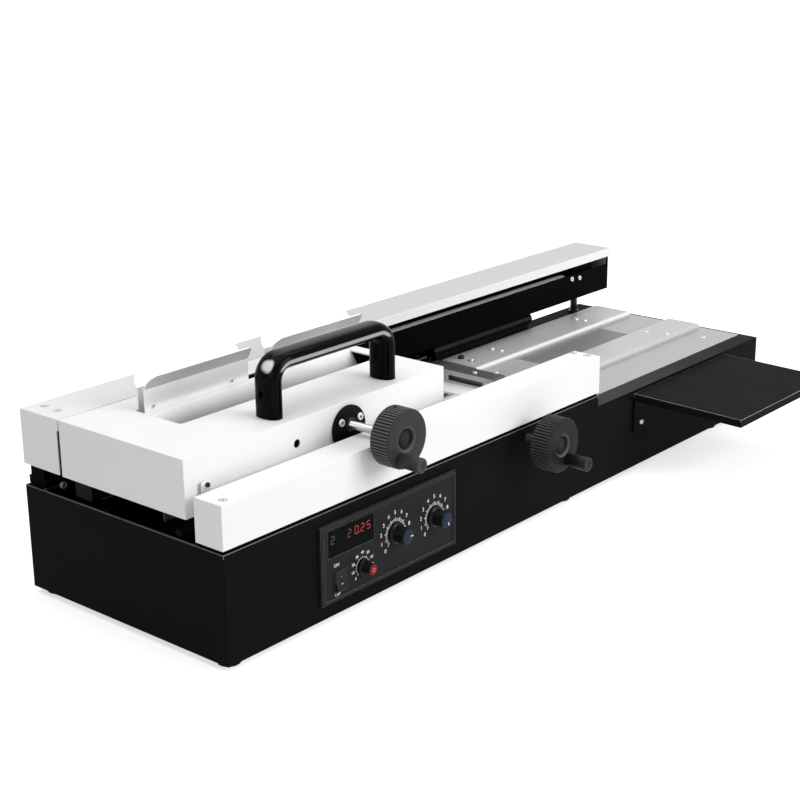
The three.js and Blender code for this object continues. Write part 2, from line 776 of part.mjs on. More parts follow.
// Clamp frame: front plate with two grooved side plates, and a pad that glides on the front rail
function buildClampFrame() {
  const top = coverUnder - seat;
  const y1 = bookPlane - seat;
  let frame = box(frameInset, frameRight, frameFront, frameFront + frameSheet, frameBottom, top);
  const sides = [[clampLeft - frameSide, clampLeft], [clampRight, frameRight]];
  for (const [x0, x1] of sides) {
    frame = frame.add(box(x0, x1, frameFront, y1, frameBottom, top));
  }
  const low = tenonZ - tenonHeight / 2 - runClear;
  const high = tenonZ + tenonHeight / 2 + runClear;
  const groove = jawTenon + runClear;
  const grooveFront = frontJawFront - clampOpening - grooveSpare;
  frame = frame.subtract(box(clampLeft - groove, clampLeft + overrun, grooveFront, y1 + overrun, low, high));
  frame = frame.subtract(box(clampRight - overrun, clampRight + groove,
    grooveFront, y1 + overrun, low, high));
  frame = frame.add(box(padX - padWidth / 2, padX + padWidth / 2, frameFront, railFront + railWidth,
    railTop + seat, frameBottom + overrun));
  frame = frame.subtract(rod('y', nutBossRadius + seat, [screwX, frameFront - overrun, screwZ],
    frameSheet + 2 * overrun));
  place('clamp_frame', frame, 'dark');
}

function buildRearJaw() {
  const y1 = bookPlane + rearJawThick;
  const top = coverUnder - seat;
  const step = guideSheet + seat;
  const section = outline([[bookPlane, jawBottom], [y1, jawBottom], [y1, top], [bookPlane + step, top],
    [bookPlane + step, guideFoot - seat], [bookPlane, guideFoot - seat]]);
  place('rear_jaw', prismX(section, frameInset, frameRight), 'steel');
}

function buildFrontJaw() {
  const step = guideSheet + seat;
  const ledge = jawFace - step - frontJawLedge;
  const section = outline([[frontJawFront, jawBottom], [jawFace, jawBottom], [jawFace, guideFoot - seat],
    [jawFace - step, guideFoot - seat], [jawFace - step, jawTop], [ledge, jawTop],
    [ledge - frontJawSlope, frontJawShoulder], [frontJawFront, frontJawShoulder]]);
  let jaw = prismX(section, clampLeft + runClear, clampRight - runClear);
  const x0 = clampLeft - jawTenon;
  const x1 = clampRight + jawTenon;
  jaw = jaw.add(box(x0, x1, frontJawFront, jawFace - seat,
    tenonZ - tenonHeight / 2, tenonZ + tenonHeight / 2));
  const cuts = [[x0 - overrun, pocketLeft + runClear], [pocketRight - runClear, x1 + overrun]];
  for (const [cut0, cut1] of cuts) {
    jaw = jaw.subtract(box(cut0, cut1, frontJawFront - overrun, jawFace + overrun, coverUnder - runClear,
      jawTop + overrun));
  }
  jaw = jaw.subtract(rod('y', threadRadius + runClear, [screwX, frontJawFront - overrun, screwZ],
    overrun + clampScrewDepth + seat));
  place('front_jaw', jaw, 'steel');
}

// One guide plate: a bent section along X, trimmed to an outline with a round and a slanted corner
function guidePlate(x0, x1, footEnd, face, way, lean = 0) {
  const t = guideSheet * way;
  const section = outline([[face, guideFoot], [face, guideFold], [face - guideFlare * way, guideTop],
    [face - guideFlare * way - t, guideTop - guideSheet / 2], [face - t, guideFold - guideSheet / 2],
    [face - t, guideFoot]]);
  const bent = prismX(section, x0, x1 + lean);
  const trim = new THREE.Shape();
  trim.moveTo(x0, guideFoot - overrun);
  trim.lineTo(footEnd, guideFoot - overrun);
  trim.lineTo(footEnd, carriageTop + seat);
  trim.lineTo(x1 + lean, carriageTop + seat);
  trim.lineTo(x1, guideFold);
  trim.lineTo(x1, guideTop - guideEndCorner);
  trim.quadraticCurveTo(x1, guideTop + seat, x1 - guideEndCorner, guideTop + seat);
  trim.lineTo(x0 + guideCorner, guideTop + seat);
  trim.quadraticCurveTo(x0, guideTop + seat, x0, guideTop - guideCornerDrop);
  const span = guideFlare + 2 * overrun;
  return bent.intersect(prismY(trim, face - span, face + span));
}

function buildGuides() {
  const footEnd = pocketRight - tableMargin;
  const end = carriageLength + guideRightOverhang;
  const start = end - guideRightLength;
  place('front_guide_left', guidePlate(guideLeftStart, guideLeftEnd, guideLeftEnd, jawFace, 1), 'bright');
  place('front_guide_right', guidePlate(start, end, footEnd, jawFace, 1, guideEndLean), 'bright');
  place('rear_guide_left', guidePlate(guideLeftStart, guideLeftEnd, guideLeftEnd, bookPlane, -1), 'bright');
  place('rear_guide_right', guidePlate(start, end, footEnd, bookPlane, -1, guideEndLean), 'bright');
}

// Height of the bush blocks: their arms reach the jaw through the slot between channel and cover
function bushTop() {
  return carriageTop - carriageLip - bushTopClear;
}

function buildBushes() {
  const y0 = bookPlane + rearJawThick + seat;
  const wallBack = beamFront + coverSheet + seat + channelSheet + runClear;
  const sites = { bush_block_left: bushLeftX, bush_block_right: carriageLength - bushRightInset };
  for (const [name, x0] of Object.entries(sites)) {
    let block = box(x0, x0 + bushWidth, y0, beamBack - bushBackInset, bushBottom, bushTop());
    block = block.subtract(box(x0 - overrun, x0 + bushWidth + overrun, y0 - overrun, wallBack,
      bushBottom - overrun, channelFrontTop + runClear));
    block = block.subtract(rod('x', shaftRadius + seat, [x0 - overrun, shaftY, shaftZ],
      bushWidth + 2 * overrun));
    place(name, block, 'dark');
  }
}

function buildNutFlange() {
  const y1 = carriageFront - seat;
  const y0 = y1 - nutFlangeThick;
  const deep = frameFront + frameSheet;
  const discX = screwX - nutFlangeShiftX;
  const discZ = screwZ - nutFlangeShiftZ;
  let flange = rod('y', nutFlangeRadius, [discX, y0, discZ], nutFlangeThick, 48);
  flange = flange.add(rod('y', nutBossRadius, [screwX, y0, screwZ], deep - y0));
  flange = flange.subtract(rod('y', threadRadius + runClear, [screwX, y0 - overrun, screwZ],
    deep - y0 + 2 * overrun));
  place('nut_flange', flange, 'black');
}

// Hand wheel: a ribbed rim with round shoulders, a dished hub, a blind bore and a hole for the crank
function buildWheel(name, x, z, face, angle) {
  const points = [];
  for (let i = 0; i < wheelRibs; i += 1) {
    const step = (2 * Math.PI) / wheelRibs;
    ribPitchShares.forEach((share, k) => {
      const r = wheelRadius - ribDepth * ribDepthShares[k];
      const a = (i + share) * step;
      points.push([r * Math.cos(a), r * Math.sin(a)]);
    });
  }
  const back = face + wheelThick;
  const s = wheelShoulder;
  let wheel = prismY(outline(points), 0, wheelThick);
  wheel = wheel.translate([x, face, z]);
  const rim = [[0, face], [wheelRadius - s, face], [wheelRadius, face + s], [wheelRadius, back - s],
    [wheelRadius - s, back], [0, back]];
  wheel = wheel.intersect(turned('y', rim, [x, 0, z], 48));
  const floor = face + wheelRecessDepth;
  const dish = [[0, face - overrun], [wheelRecessMouth, face - overrun], [wheelRecessMouth, face],
    [wheelRecessRadius, floor], [0, floor]];
  wheel = wheel.subtract(turned('y', dish, [x, 0, z], 32));
  const boreFront = floor + wheelWeb;
  wheel = wheel.subtract(rod('y', screwRadius + seat, [x, boreFront, z], wheelThick));
  const [cx, cz] = crankSite(x, z, angle);
  const pin = crankPinRadius + seat;
  wheel = wheel.subtract(rod('y', pin, [cx, face - overrun, cz], overrun + crankPinLength + seat, 20));
  place(name, wheel, 'black');
}

function crankSite(x, z, angle) {
  const a = THREE.MathUtils.degToRad(angle);
  return [x + crankOffset * Math.cos(a), z + crankOffset * Math.sin(a)];
}

function buildCrank(name, x, z, face, angle) {
  const [cx, cz] = crankSite(x, z, angle);
  const y1 = face - seat;
  const y0 = y1 - crankLength;
  const c = crankEndChamfer;
  const profile = [[0, y0], [crankEndRadius - c, y0], [crankEndRadius, y0 + c], [crankRadius, y1],
    [crankPinRadius, y1], [crankPinRadius, face + crankPinLength], [0, face + crankPinLength]];
  place(name, turned('y', profile, [cx, 0, cz], 24), 'black');
}

function buildScrews() {
  const web = wheelRecessDepth + wheelWeb + seat;
  const clampEnd = frontJawFront + clampScrewDepth;
  const clamp = [[0, clampWheelFace + web], [screwRadius, clampWheelFace + web],
    [screwRadius, clampThreadStart], [threadRadius, clampThreadStart + seat],
    [threadRadius, clampEnd], [0, clampEnd]];
  place('clamp_screw', turned('y', clamp, [screwX, 0, screwZ], 28), 'bright');
  const nipThread = frontFlange;
  const nipScrewEnd = frontNipFront + tongueDepth + nipScrewPast;
  const nip = [[0, nipWheelFace + web], [screwRadius, nipWheelFace + web], [screwRadius, nipThread],
    [threadRadius, nipThread + seat], [threadRadius, nipScrewEnd], [0, nipScrewEnd]];
  place('nip_screw', turned('y', nip, [nipScrewX, 0, nipScrewZ], 28), 'bright');
}

// Handle: an oval bar swept up one leg, across and down the other, with round bends
class HandlePath extends THREE.Curve {
  constructor(stations) {
    super();
    this.stations = stations;
  }

  getPoint(t, target = new THREE.Vector3()) {
    const place = Math.min(Math.max(t, 0), 1) * (this.stations.length - 1);
    const i = Math.min(Math.floor(place), this.stations.length - 2);
    return target.lerpVectors(this.stations[i], this.stations[i + 1], place - i);
  }

  getUtoTmapping(u) {
    return u;
  }
}

function buildHandle() {
  const axisTop = handleTop - handleThick / 2;
  const z0 = carriageTop + seat;
  const stations = [new THREE.Vector3(handleLeftX, handleY, z0)];
  const corners = [[handleLeftX + handleBend, Math.PI, -1], [handleRightX - handleBend, Math.PI / 2, -1]];
  for (const [cx, startAngle, turn] of corners) {
    for (let i = 0; i <= bendSteps; i += 1) {
      const a = startAngle + (turn * i * Math.PI) / (2 * bendSteps);
      const cz = axisTop - handleBend;
      stations.push(new THREE.Vector3(cx + handleBend * Math.cos(a), handleY, cz + handleBend * Math.sin(a)));
    }
  }
  stations.push(new THREE.Vector3(handleRightX, handleY, z0));
  const section = new THREE.Shape();
  section.absellipse(0, 0, handleWidth / 2, handleThick / 2, 0, 2 * Math.PI, false, 0);
  const bar = new THREE.ExtrudeGeometry(section, {
    steps: stations.length - 1, curveSegments: 16, extrudePath: new HandlePath(stations),
  });
  place('carriage_handle', solid(bar), 'gloss');
}

// Loading place: an inverted channel that the book's spine is knocked level on, and the front rail
function buildLoading() {
  const z0 = deckTop + seat;
  const z1 = -joggerDrop;
  const t = joggerSheet;
  const joggerEnd = carriageLength - joggerEndInset;
  const y0 = bookPlane - joggerBeforePlane;
  const y1 = bookPlane + joggerBehindPlane;
  let channel = box(joggerStart, joggerEnd, y0, y1, z0, z1);
  channel = channel.subtract(box(joggerStart - overrun, joggerEnd + overrun, y0 + t, y1 - t,
    z0 - overrun, z1 - t));
  place('jogging_plate', channel, 'steel');
  let rail = box(bracketInset, stepX - railEndInset, railFront, railFront + railWidth, z0, railTop);
  rail = rail.subtract(rod('y', threadRadius + 4 * runClear, [nipScrewX, railFront - overrun, nipScrewZ],
    railWidth + 2 * overrun, 20));
  place('front_rail', rail, 'dark');
}

function buildCutter() {
  const points = [];
  const y = bookPlane - clampGap / 2;
  for (let i = 0; i < cutterTeeth; i += 1) {
    const step = (2 * Math.PI) / cutterTeeth;
    toothPitchShares.forEach((share, k) => {
      const r = cutterRadius - toothDepth * toothDepthShares[k];
      const a = (i + share) * step;
      points.push([cutterX + r * Math.cos(a), y + r * Math.sin(a)]);
    });
  }
  let cutter = prismZ(outline(points), -cutterThick, 0);
  cutter = cutter.add(rod('z', spindleRadius, [cutterX, y, -spindleLength], spindleLength - seat, 24));
  place('milling_cutter', cutter, 'bright');
  const top = deckUnder - seat;
  const mt = top - motorFlangeThick;
  const bottom = floorTop + motorStand;
  const profile = [[0, bottom], [motorRadius, bottom], [motorRadius, mt], [motorFlangeRadius, mt],
    [motorFlangeRadius, top], [0, top]];
  let motor = turned('z', profile, [cutterX, y, 0], 32);
  motor = motor.subtract(rod('z', spindleRadius + runClear, [cutterX, y, -spindleLength - runClear],
    spindleLength, 24));
  place('cutter_motor', motor, 'dark');
}

// Glue unit: an open trough hung in the deck, its heater, the roller and the gear motor that turns it
function buildGlueUnit() {
  const w = tankWall;
  const top = -tankRim;
  let tank = box(tankStart, tankEnd, tankFront, tankBack, -tankDepth, top);
  const flangeZ = deckTop + seat;
  tank = tank.add(box(tankStart - tankFlange, tankEnd + tankShelf, tankFront, tankBack,
    flangeZ, flangeZ + tankFlangeThick));
  tank = tank.subtract(box(tankStart + w, tankEnd - w, tankFront + w, tankBack - w,
    -tankDepth + w, top + overrun));
  const axisZ = -joggerDrop - rollerRadius;
  tank = tank.subtract(rod('y', rollerShaft + runClear, [rollerX, tankFront - overrun, axisZ],
    tankBack - tankFront + 2 * overrun, 24));
  place('glue_tank', tank, 'steel');
  const hz = -tankDepth - seat;
  const heater = box(tankStart + w, tankEnd - w, tankFront + w, tankBack - w, hz - heaterThick, hz);
  place('heater_plate', heater, 'dark');
  const y0 = tankFront + w + runClear + seat;
  const y1 = tankBack - w - runClear - seat;
  const s = rollerShaft;
  const shaftBack = tankBack + rollerStub + overrun;
  const roller = [[0, tankFront - rollerStub], [s, tankFront - rollerStub], [s, y0], [rollerRadius, y0],
    [rollerRadius, y1], [s, y1], [s, shaftBack], [0, shaftBack]];
  place('glue_roller', turned('y', roller, [rollerX, 0, axisZ], 40), 'bright');
  const half = gearWidth / 2;
  const front = tankBack + rollerStub;
  let motor = box(rollerX - half, rollerX + half, front, gearBack, gearBottom, gearTop);
  motor = motor.add(box(rollerX - half - gearEar, rollerX + half + gearEar, front, gearBack,
    flangeZ, flangeZ + gearEarThick));
  motor = motor.subtract(rod('y', s + runClear, [rollerX, front - overrun, axisZ],
    2 * overrun + runClear, 24));
  place('gear_motor', motor, 'dark');
}

// Control panel: a bevelled frame with a sunk field, a window, a rocker seat and holes for the knobs
function buildPanel() {
  const back = -seat;
  const face = back - panelThick;
  const field = face + panelRecess;
  const b = panelBevel;
  const p = panelBorder;
  let panel = box(panelLeft, panelRight, face + b, back, panelBottom, panelTop);
  panel = panel.add(prismX(outline([[face, panelBottom + b], [face + b, panelBottom], [face + b, panelTop],
    [face, panelTop - b]]), panelLeft + b, panelRight - b));
  panel = panel.subtract(box(panelLeft + p, panelRight - p, face - overrun, field,
    panelBottom + p, panelTop - p));
  panel = panel.subtract(box(displayLeft, displayRight, face - overrun, back + overrun,
    displayBottom, displayTop));
  const rw = rockerWidth / 2 + rockerGap;
  const rh = rockerHeight / 2 + rockerGap;
  panel = panel.subtract(box(rockerX - rw, rockerX + rw, face - overrun, back + overrun,
    rockerZ - rh, rockerZ + rh));
  for (const site of knobSites) {
    panel = panel.subtract(rod('y', knobShaft + runClear, [site.x, face - overrun, site.z],
      panelThick + 2 * overrun, 20));
  }
  place('control_panel', panel, 'black');
  const g = seat;
  place('display_window', box(displayLeft + g, displayRight - g, field + g, back - g,
    displayBottom + g, displayTop - g), 'window');
  let board = box(panelLeft + boardInset, panelRight - boardInset, boardY, boardY + boardThick,
    panelBottom + boardInset, boardTop);
  board = board.add(box(displayLeft + boardInset, displayRight - boardInset, 0, boardY + seat,
    displayBottom + boardInset / 2, boardTop));
  for (const site of knobSites) {
    board = board.add(rod('y', potRadius, [site.x, 0, site.z], boardY + seat, 24));
    board = board.subtract(rod('y', potBore, [site.x, -overrun, site.z], overrun + potBoreDepth, 20));
  }
  place('control_board', board, 'board');
  for (const site of knobSites) buildKnob(site, field);
  buildRocker(field);
}

function buildKnob(site, field) {
  const back = field - seat;
  const front = back - site.length;
  const r = site.radius;
  const slim = r * knobTaperShare;
  const profile = [[0, front], [slim - seat, front], [slim, front + 2 * seat],
    [slim + seat, back - knobSkirt - seat], [r, back - knobSkirt], [r, back], [knobShaft, back],
    [knobShaft, potBoreDepth - seat], [0, potBoreDepth - seat]];
  place(site.name, turned('y', profile, [site.x, 0, site.z], 32), 'black');
}

function buildRocker(field) {
  const h = rockerHeight / 2;
  const front = field - rockerRise;
  const section = outline([[rockerBack, -h + rockerBack], [rockerBack, h - rockerBack], [field, h],
    [front, h], [front + rockerRise / 2, 0], [front, -h], [field, -h]]);
  const paddle = new THREE.ExtrudeGeometry(section, { depth: rockerWidth, bevelEnabled: false });
  paddle.applyMatrix4(new THREE.Matrix4().set(0, 0, 1, -rockerWidth / 2, 1, 0, 0, -rockerPivot,
    0, 1, 0, 0, 0, 0, 0, 1));
  paddle.rotateX(-THREE.MathUtils.degToRad(rockerTilt));
  paddle.translate(rockerX, rockerPivot, rockerZ);
  place('power_rocker', solid(paddle), 'gloss');
}

// Front leaf: a sheet that falls a little outwards, hemmed on three sides, with an apron on the wall
function buildLeaf() {
  const t = leafSheet;
  const tip = leafRoot - leafFall;
  const y0 = -leafReach;
  const root = -seat;
  const leafStart = stepX + leafMargin;
  const leafEnd = baseLength - leafEndInset;
  const sheet = outline([[root, leafRoot], [y0, tip], [y0, tip - leafHem], [y0 + t, tip - leafHem],
    [y0 + t, tip - t], [root - t, leafRoot - t], [root - t, leafRoot - leafApron],
    [root, leafRoot - leafApron]]);
  let leaf = prismX(sheet, leafStart, leafEnd);
  const hem = outline([[root, leafRoot], [y0, tip], [y0, tip - leafHem], [root, leafRoot - leafHem]]);
  leaf = leaf.add(prismX(hem, leafStart, leafStart + t));
  leaf = leaf.add(prismX(hem, leafEnd - t, leafEnd));
  place('front_leaf', leaf, 'black');
}

function buildElectrics() {
  const w = inletWidth / 2;
  const h = inletHeight / 2;
  const y0 = baseDepth + seat;
  const f = inletFlange;
  const face = y0 + inletFlangeThick;
  let inlet = box(inletX - w - f, inletX + w + f, y0, face, inletZ - h - f / 2, inletZ + h + f / 2);
  inlet = inlet.add(box(inletX - w, inletX + w, face - inletDepth, face, inletZ - h, inletZ + h));
  inlet = inlet.subtract(box(inletX - w + inletWall, inletX + w - inletWall, face - inletDepth + inletWall,
    face + overrun, inletZ - h + inletWall, inletZ + h - inletWall));
  place('power_inlet', inlet, 'black');
}

buildChassis();
buildFloor();
buildFeet();
buildDeck();
buildTable();
buildRearNip();
buildFrontNip();
buildStationBracket();
buildFrontBar();
buildBeam();
buildBeamCarriers();
buildCarriageCover();
buildClampFrame();
buildRearJaw();
buildFrontJaw();
buildGuides();
buildBushes();
buildNutFlange();
buildWheel('clamp_handwheel', screwX, screwZ, clampWheelFace, clampCrankAngle);
buildCrank('clamp_crank_knob', screwX, screwZ, clampWheelFace, clampCrankAngle);
buildWheel('nip_handwheel', nipScrewX, nipScrewZ, nipWheelFace, nipCrankAngle);
buildCrank('nip_crank_knob', nipScrewX, nipScrewZ, nipWheelFace, nipCrankAngle);
buildScrews();
buildHandle();
buildLoading();
buildCutter();
buildGlueUnit();
buildPanel();
buildLeaf();
buildElectrics();

export default machine;
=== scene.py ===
"""Looks of a bench-top perfect binding machine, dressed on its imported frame.

Sizes are in millimetres on the machine's own axes: X runs from its left end, Y from its front wall to
the back, and Z is up from the top edge of the base's left walls. at() turns them into scene metres.
"""

import logging
import math
from dataclasses import dataclass, field, replace
from enum import Enum
from typing import Callable, Optional, Sequence, Union

import bmesh
import bpy
from mathutils import Matrix, Vector


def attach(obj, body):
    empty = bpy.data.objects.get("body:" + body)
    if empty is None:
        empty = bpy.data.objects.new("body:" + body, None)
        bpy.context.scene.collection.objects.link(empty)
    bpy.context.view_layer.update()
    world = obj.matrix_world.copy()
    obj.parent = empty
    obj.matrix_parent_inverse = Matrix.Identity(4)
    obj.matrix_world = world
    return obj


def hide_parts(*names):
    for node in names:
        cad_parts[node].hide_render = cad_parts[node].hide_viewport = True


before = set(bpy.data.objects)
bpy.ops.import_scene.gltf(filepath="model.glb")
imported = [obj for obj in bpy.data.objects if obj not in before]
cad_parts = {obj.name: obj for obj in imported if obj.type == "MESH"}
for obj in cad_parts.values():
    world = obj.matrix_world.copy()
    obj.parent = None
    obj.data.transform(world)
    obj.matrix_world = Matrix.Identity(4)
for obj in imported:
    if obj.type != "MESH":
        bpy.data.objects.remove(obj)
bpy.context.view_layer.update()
log = logging.getLogger("binding_machine")

MM = 0.001
ORIGIN = Vector((514.0, 75.25, -123.3))
TURN = 2.0 * math.pi

Point = tuple[float, float, float]
Flat = tuple[float, float]
Colour = tuple[float, float, float]
Radius = Union[float, Callable[[float], float]]


def at(x: float, y: float, z: float) -> Vector:
    """Turn a place on the machine's axes into scene metres."""
    return (Vector((x, y, z)) - ORIGIN) * MM


def srgb(code: int) -> Colour:
    """Turn a written screen colour into the linear values that a shader takes.

    Args:
        code: the colour as 0xRRGGBB.

    Returns:
        Red, green and blue as linear shares of one.
    """
    shares = [((code >> shift) & 255) / 255.0 for shift in (16, 8, 0)]
    red, green, blue = [s / 12.92 if s <= 0.04045 else ((s + 0.055) / 1.055) ** 2.4 for s in shares]
    return red, green, blue


# Shader wiring and the effects that several finishes share


class Wiring:
    """Adds and joins nodes in one node tree."""

    def __init__(self, tree: bpy.types.NodeTree) -> None:
        """Keep the tree that the nodes go into."""
        self.tree = tree

    def add(self, kind: str, inputs: Optional[dict[str, object]] = None,
            **settings: object) -> bpy.types.Node:
        """Add one node.

        Args:
            kind: the node's type name.
            inputs: values or output sockets for its named inputs.
            **settings: attributes to set on the node first.

        Returns:
            The new node.
        """
        node = self.tree.nodes.new(kind)
        for key, value in settings.items():
            setattr(node, key, value)
        for key, value in (inputs or {}).items():
            self.give(node.inputs[key], value)
        return node

    def give(self, socket: bpy.types.NodeSocket, value: object) -> None:
        """Join an output to an input socket, or set the input's own value."""
        if isinstance(value, bpy.types.NodeSocket):
            self.tree.links.new(value, socket)
        else:
            socket.default_value = value

    def maths(self, operation: str, first: object, second: object = 0.0) -> bpy.types.NodeSocket:
        """Add a Math node and return its output."""
        node = self.tree.nodes.new("ShaderNodeMath")
        node.operation = operation
        self.give(node.inputs[0], first)
        self.give(node.inputs[1], second)
        return node.outputs[0]

    def product(self, *factors: object) -> bpy.types.NodeSocket:
        """Multiply two or more values."""
        total = factors[0]
        for factor in factors[1:]:
            total = self.maths("MULTIPLY", total, factor)
        return total

    def ramp(self, value: object, start: object, end: object, low: object = 0.0,
             high: object = 1.0) -> bpy.types.NodeSocket:
        """Map a value from one range to another, held at both ends."""
        given = {"Value": value, "From Min": start, "From Max": end, "To Min": low, "To Max": high}
        return self.add("ShaderNodeMapRange", given).outputs[0]

    def parts(self, vector: object) -> bpy.types.NodeOutputs:
        """Give the X, Y and Z of a vector."""
        return self.add("ShaderNodeSeparateXYZ", {0: vector}).outputs

    def vector(self, operation: str, first: object,
               second: object = (0.0, 0.0, 0.0)) -> bpy.types.NodeOutputs:
        """Add a Vector Math node and return its outputs."""
        return self.add("ShaderNodeVectorMath", {0: first, 1: second}, operation=operation).outputs

    def mix(self, share: object, under: object, over: object) -> bpy.types.NodeSocket:
        """Mix two colours by a share."""
        node = self.add("ShaderNodeMix", data_type="RGBA")
        for place, value in ((0, share), (6, under), (7, over)):
            self.give(node.inputs[place], value)
        return node.outputs[2]


def new_group(name: str, inputs: Sequence[tuple[str, str, object]],
              outputs: Sequence[tuple[str, str]]) -> tuple[Wiring, bpy.types.Node, bpy.types.Node]:
    """Start a shader node group with named sockets.

    Args:
        name: the group's name.
        inputs: name, socket type and default of each input.
        outputs: name and socket type of each output.

    Returns:
        The group's wiring, its input node and its output node.
    """
    tree = bpy.data.node_groups.new(name, "ShaderNodeTree")
    for label, kind, default in inputs:
        socket = tree.interface.new_socket(label, in_out="INPUT", socket_type=kind)
        if default is not None:
            socket.default_value = default
    for label, kind in outputs:
        tree.interface.new_socket(label, in_out="OUTPUT", socket_type=kind)
    wiring = Wiring(tree)
    return wiring, wiring.add("NodeGroupInput"), wiring.add("NodeGroupOutput")


class Effects:
    """The node groups that the finishes share, each built once."""

    def __init__(self) -> None:
        """Build the groups."""
        self.edges = self._edges()
        self.grain = self._grain()
        self.marks = self._marks()
        self.top_tone = self._top_tone()
        self.facing_tone = self._facing_tone()
        self.rim_tone = self._rim_tone()

    @staticmethod
    def _edges() -> bpy.types.NodeTree:
        """Round every edge in the shading, and mask where the rounding is, where edge highlights are painted.

        Returns:
            The group, with Radius in, and Normal and Edge out.
        """
        wiring, source, sink = new_group(
            "rounded_edges", [("Radius", "NodeSocketFloat", 0.001)],
            [("Normal", "NodeSocketVector"), ("Edge", "NodeSocketFloat")])
        bevel = wiring.add("ShaderNodeBevel", {"Radius": source.outputs["Radius"]}, samples=6)
        flat = wiring.add("ShaderNodeNewGeometry")
        along = wiring.add("ShaderNodeVectorMath", {0: bevel.outputs[0], 1: flat.outputs["Normal"]},
                           operation="DOT_PRODUCT")
        edge = wiring.add("ShaderNodeMapRange", {"Value": along.outputs["Value"], "From Min": 0.995,
                                                 "From Max": 0.86, "To Min": 0.0, "To Max": 1.0})
        wiring.tree.links.new(bevel.outputs[0], sink.inputs["Normal"])
        wiring.tree.links.new(edge.outputs[0], sink.inputs["Edge"])
        return wiring.tree

    @staticmethod
    def _grain() -> bpy.types.NodeTree:
        """Make a fine grain, drawn out along an axis where Stretch says so.

        Returns:
            The group, with Vector, Scale and Stretch in, and Height out.
        """
        wiring, source, sink = new_group(
            "fine_grain", [("Vector", "NodeSocketVector", None), ("Scale", "NodeSocketFloat", 1000.0),
                           ("Stretch", "NodeSocketVector", (1.0, 1.0, 1.0))],
            [("Height", "NodeSocketFloat")])
        drawn = wiring.add("ShaderNodeVectorMath",
                           {0: source.outputs["Vector"], 1: source.outputs["Stretch"]}, operation="MULTIPLY")
        noise = wiring.add("ShaderNodeTexNoise", {
            "Vector": drawn.outputs[0], "Scale": source.outputs["Scale"], "Detail": 2.0, "Roughness": 0.6})
        wiring.tree.links.new(noise.outputs[0], sink.inputs["Height"])
        return wiring.tree

    @staticmethod
    def _marks() -> bpy.types.NodeTree:
        """Make the soft unevenness that handling and coating leave.

        Returns:
            The group, with Vector in, and Cloud (wide) and Speck (fine) out.
        """
        wiring, source, sink = new_group(
            "handling_marks", [("Vector", "NodeSocketVector", None)],
            [("Cloud", "NodeSocketFloat"), ("Speck", "NodeSocketFloat")])
        wide = wiring.add("ShaderNodeTexNoise", {"Vector": source.outputs[0], "Scale": 14.0, "Detail": 4.0})
        fine = wiring.add("ShaderNodeTexNoise", {"Vector": source.outputs[0], "Scale": 420.0, "Detail": 2.0})
        wiring.tree.links.new(wide.outputs[0], sink.inputs["Cloud"])
        wiring.tree.links.new(fine.outputs[0], sink.inputs["Speck"])
        return wiring.tree

    @staticmethod
    def _top_tone() -> bpy.types.NodeTree:
        """Paint light or shade as a tone on upward faces in a strip of the scene, growing or fading along X.

        Returns:
            The group, with Colour, Tone, Start, End, First, Rest, Front and Back in, and Colour out.
        """
        wiring, source, sink = new_group(
            "painted_upward_light", [("Colour", "NodeSocketColor", None), ("Tone", "NodeSocketColor", None)]
            + [(label, "NodeSocketFloat", 0.0)
               for label in ("Start", "End", "First", "Rest", "Front", "Back")],
            [("Colour", "NodeSocketColor")])
        given = source.outputs
        seen = wiring.add("ShaderNodeNewGeometry").outputs
        spot = wiring.parts(seen["Position"])
        share = wiring.product(
            wiring.maths("GREATER_THAN", wiring.parts(seen["True Normal"])["Z"], 0.7),
            wiring.maths("GREATER_THAN", spot["X"], given["Start"]),
            wiring.maths("GREATER_THAN", spot["Y"], given["Front"]),
            wiring.maths("LESS_THAN", spot["Y"], given["Back"]),
            wiring.ramp(spot["X"], given["Start"], given["End"], given["First"], given["Rest"]))
        wiring.give(sink.inputs["Colour"], wiring.mix(share, given["Colour"], given["Tone"]))
        return wiring.tree

    @staticmethod
    def _facing_tone() -> bpy.types.NodeTree:
        """Paint a highlight or shade as a tone where a surface faces one way, gone at one height and whole at
        another.

        Returns:
            The group, with Colour, Tone, Direction, Start, Full, Gone and Whole in, and Colour out.
        """
        wiring, source, sink = new_group(
            "facing_tone", [("Colour", "NodeSocketColor", None), ("Tone", "NodeSocketColor", None),
                            ("Direction", "NodeSocketVector", None)]
            + [(label, "NodeSocketFloat", 0.0) for label in ("Start", "Full", "Gone", "Whole")],
            [("Colour", "NodeSocketColor")])
        given = source.outputs
        seen = wiring.add("ShaderNodeNewGeometry").outputs
        along = wiring.vector("DOT_PRODUCT", seen["Normal"], given["Direction"])["Value"]
        share = wiring.product(
            wiring.ramp(along, given["Start"], given["Full"]),
            wiring.ramp(wiring.parts(seen["Position"])["Z"], given["Gone"], given["Whole"]))
        wiring.give(sink.inputs["Colour"], wiring.mix(share, given["Colour"], given["Tone"]))
        return wiring.tree

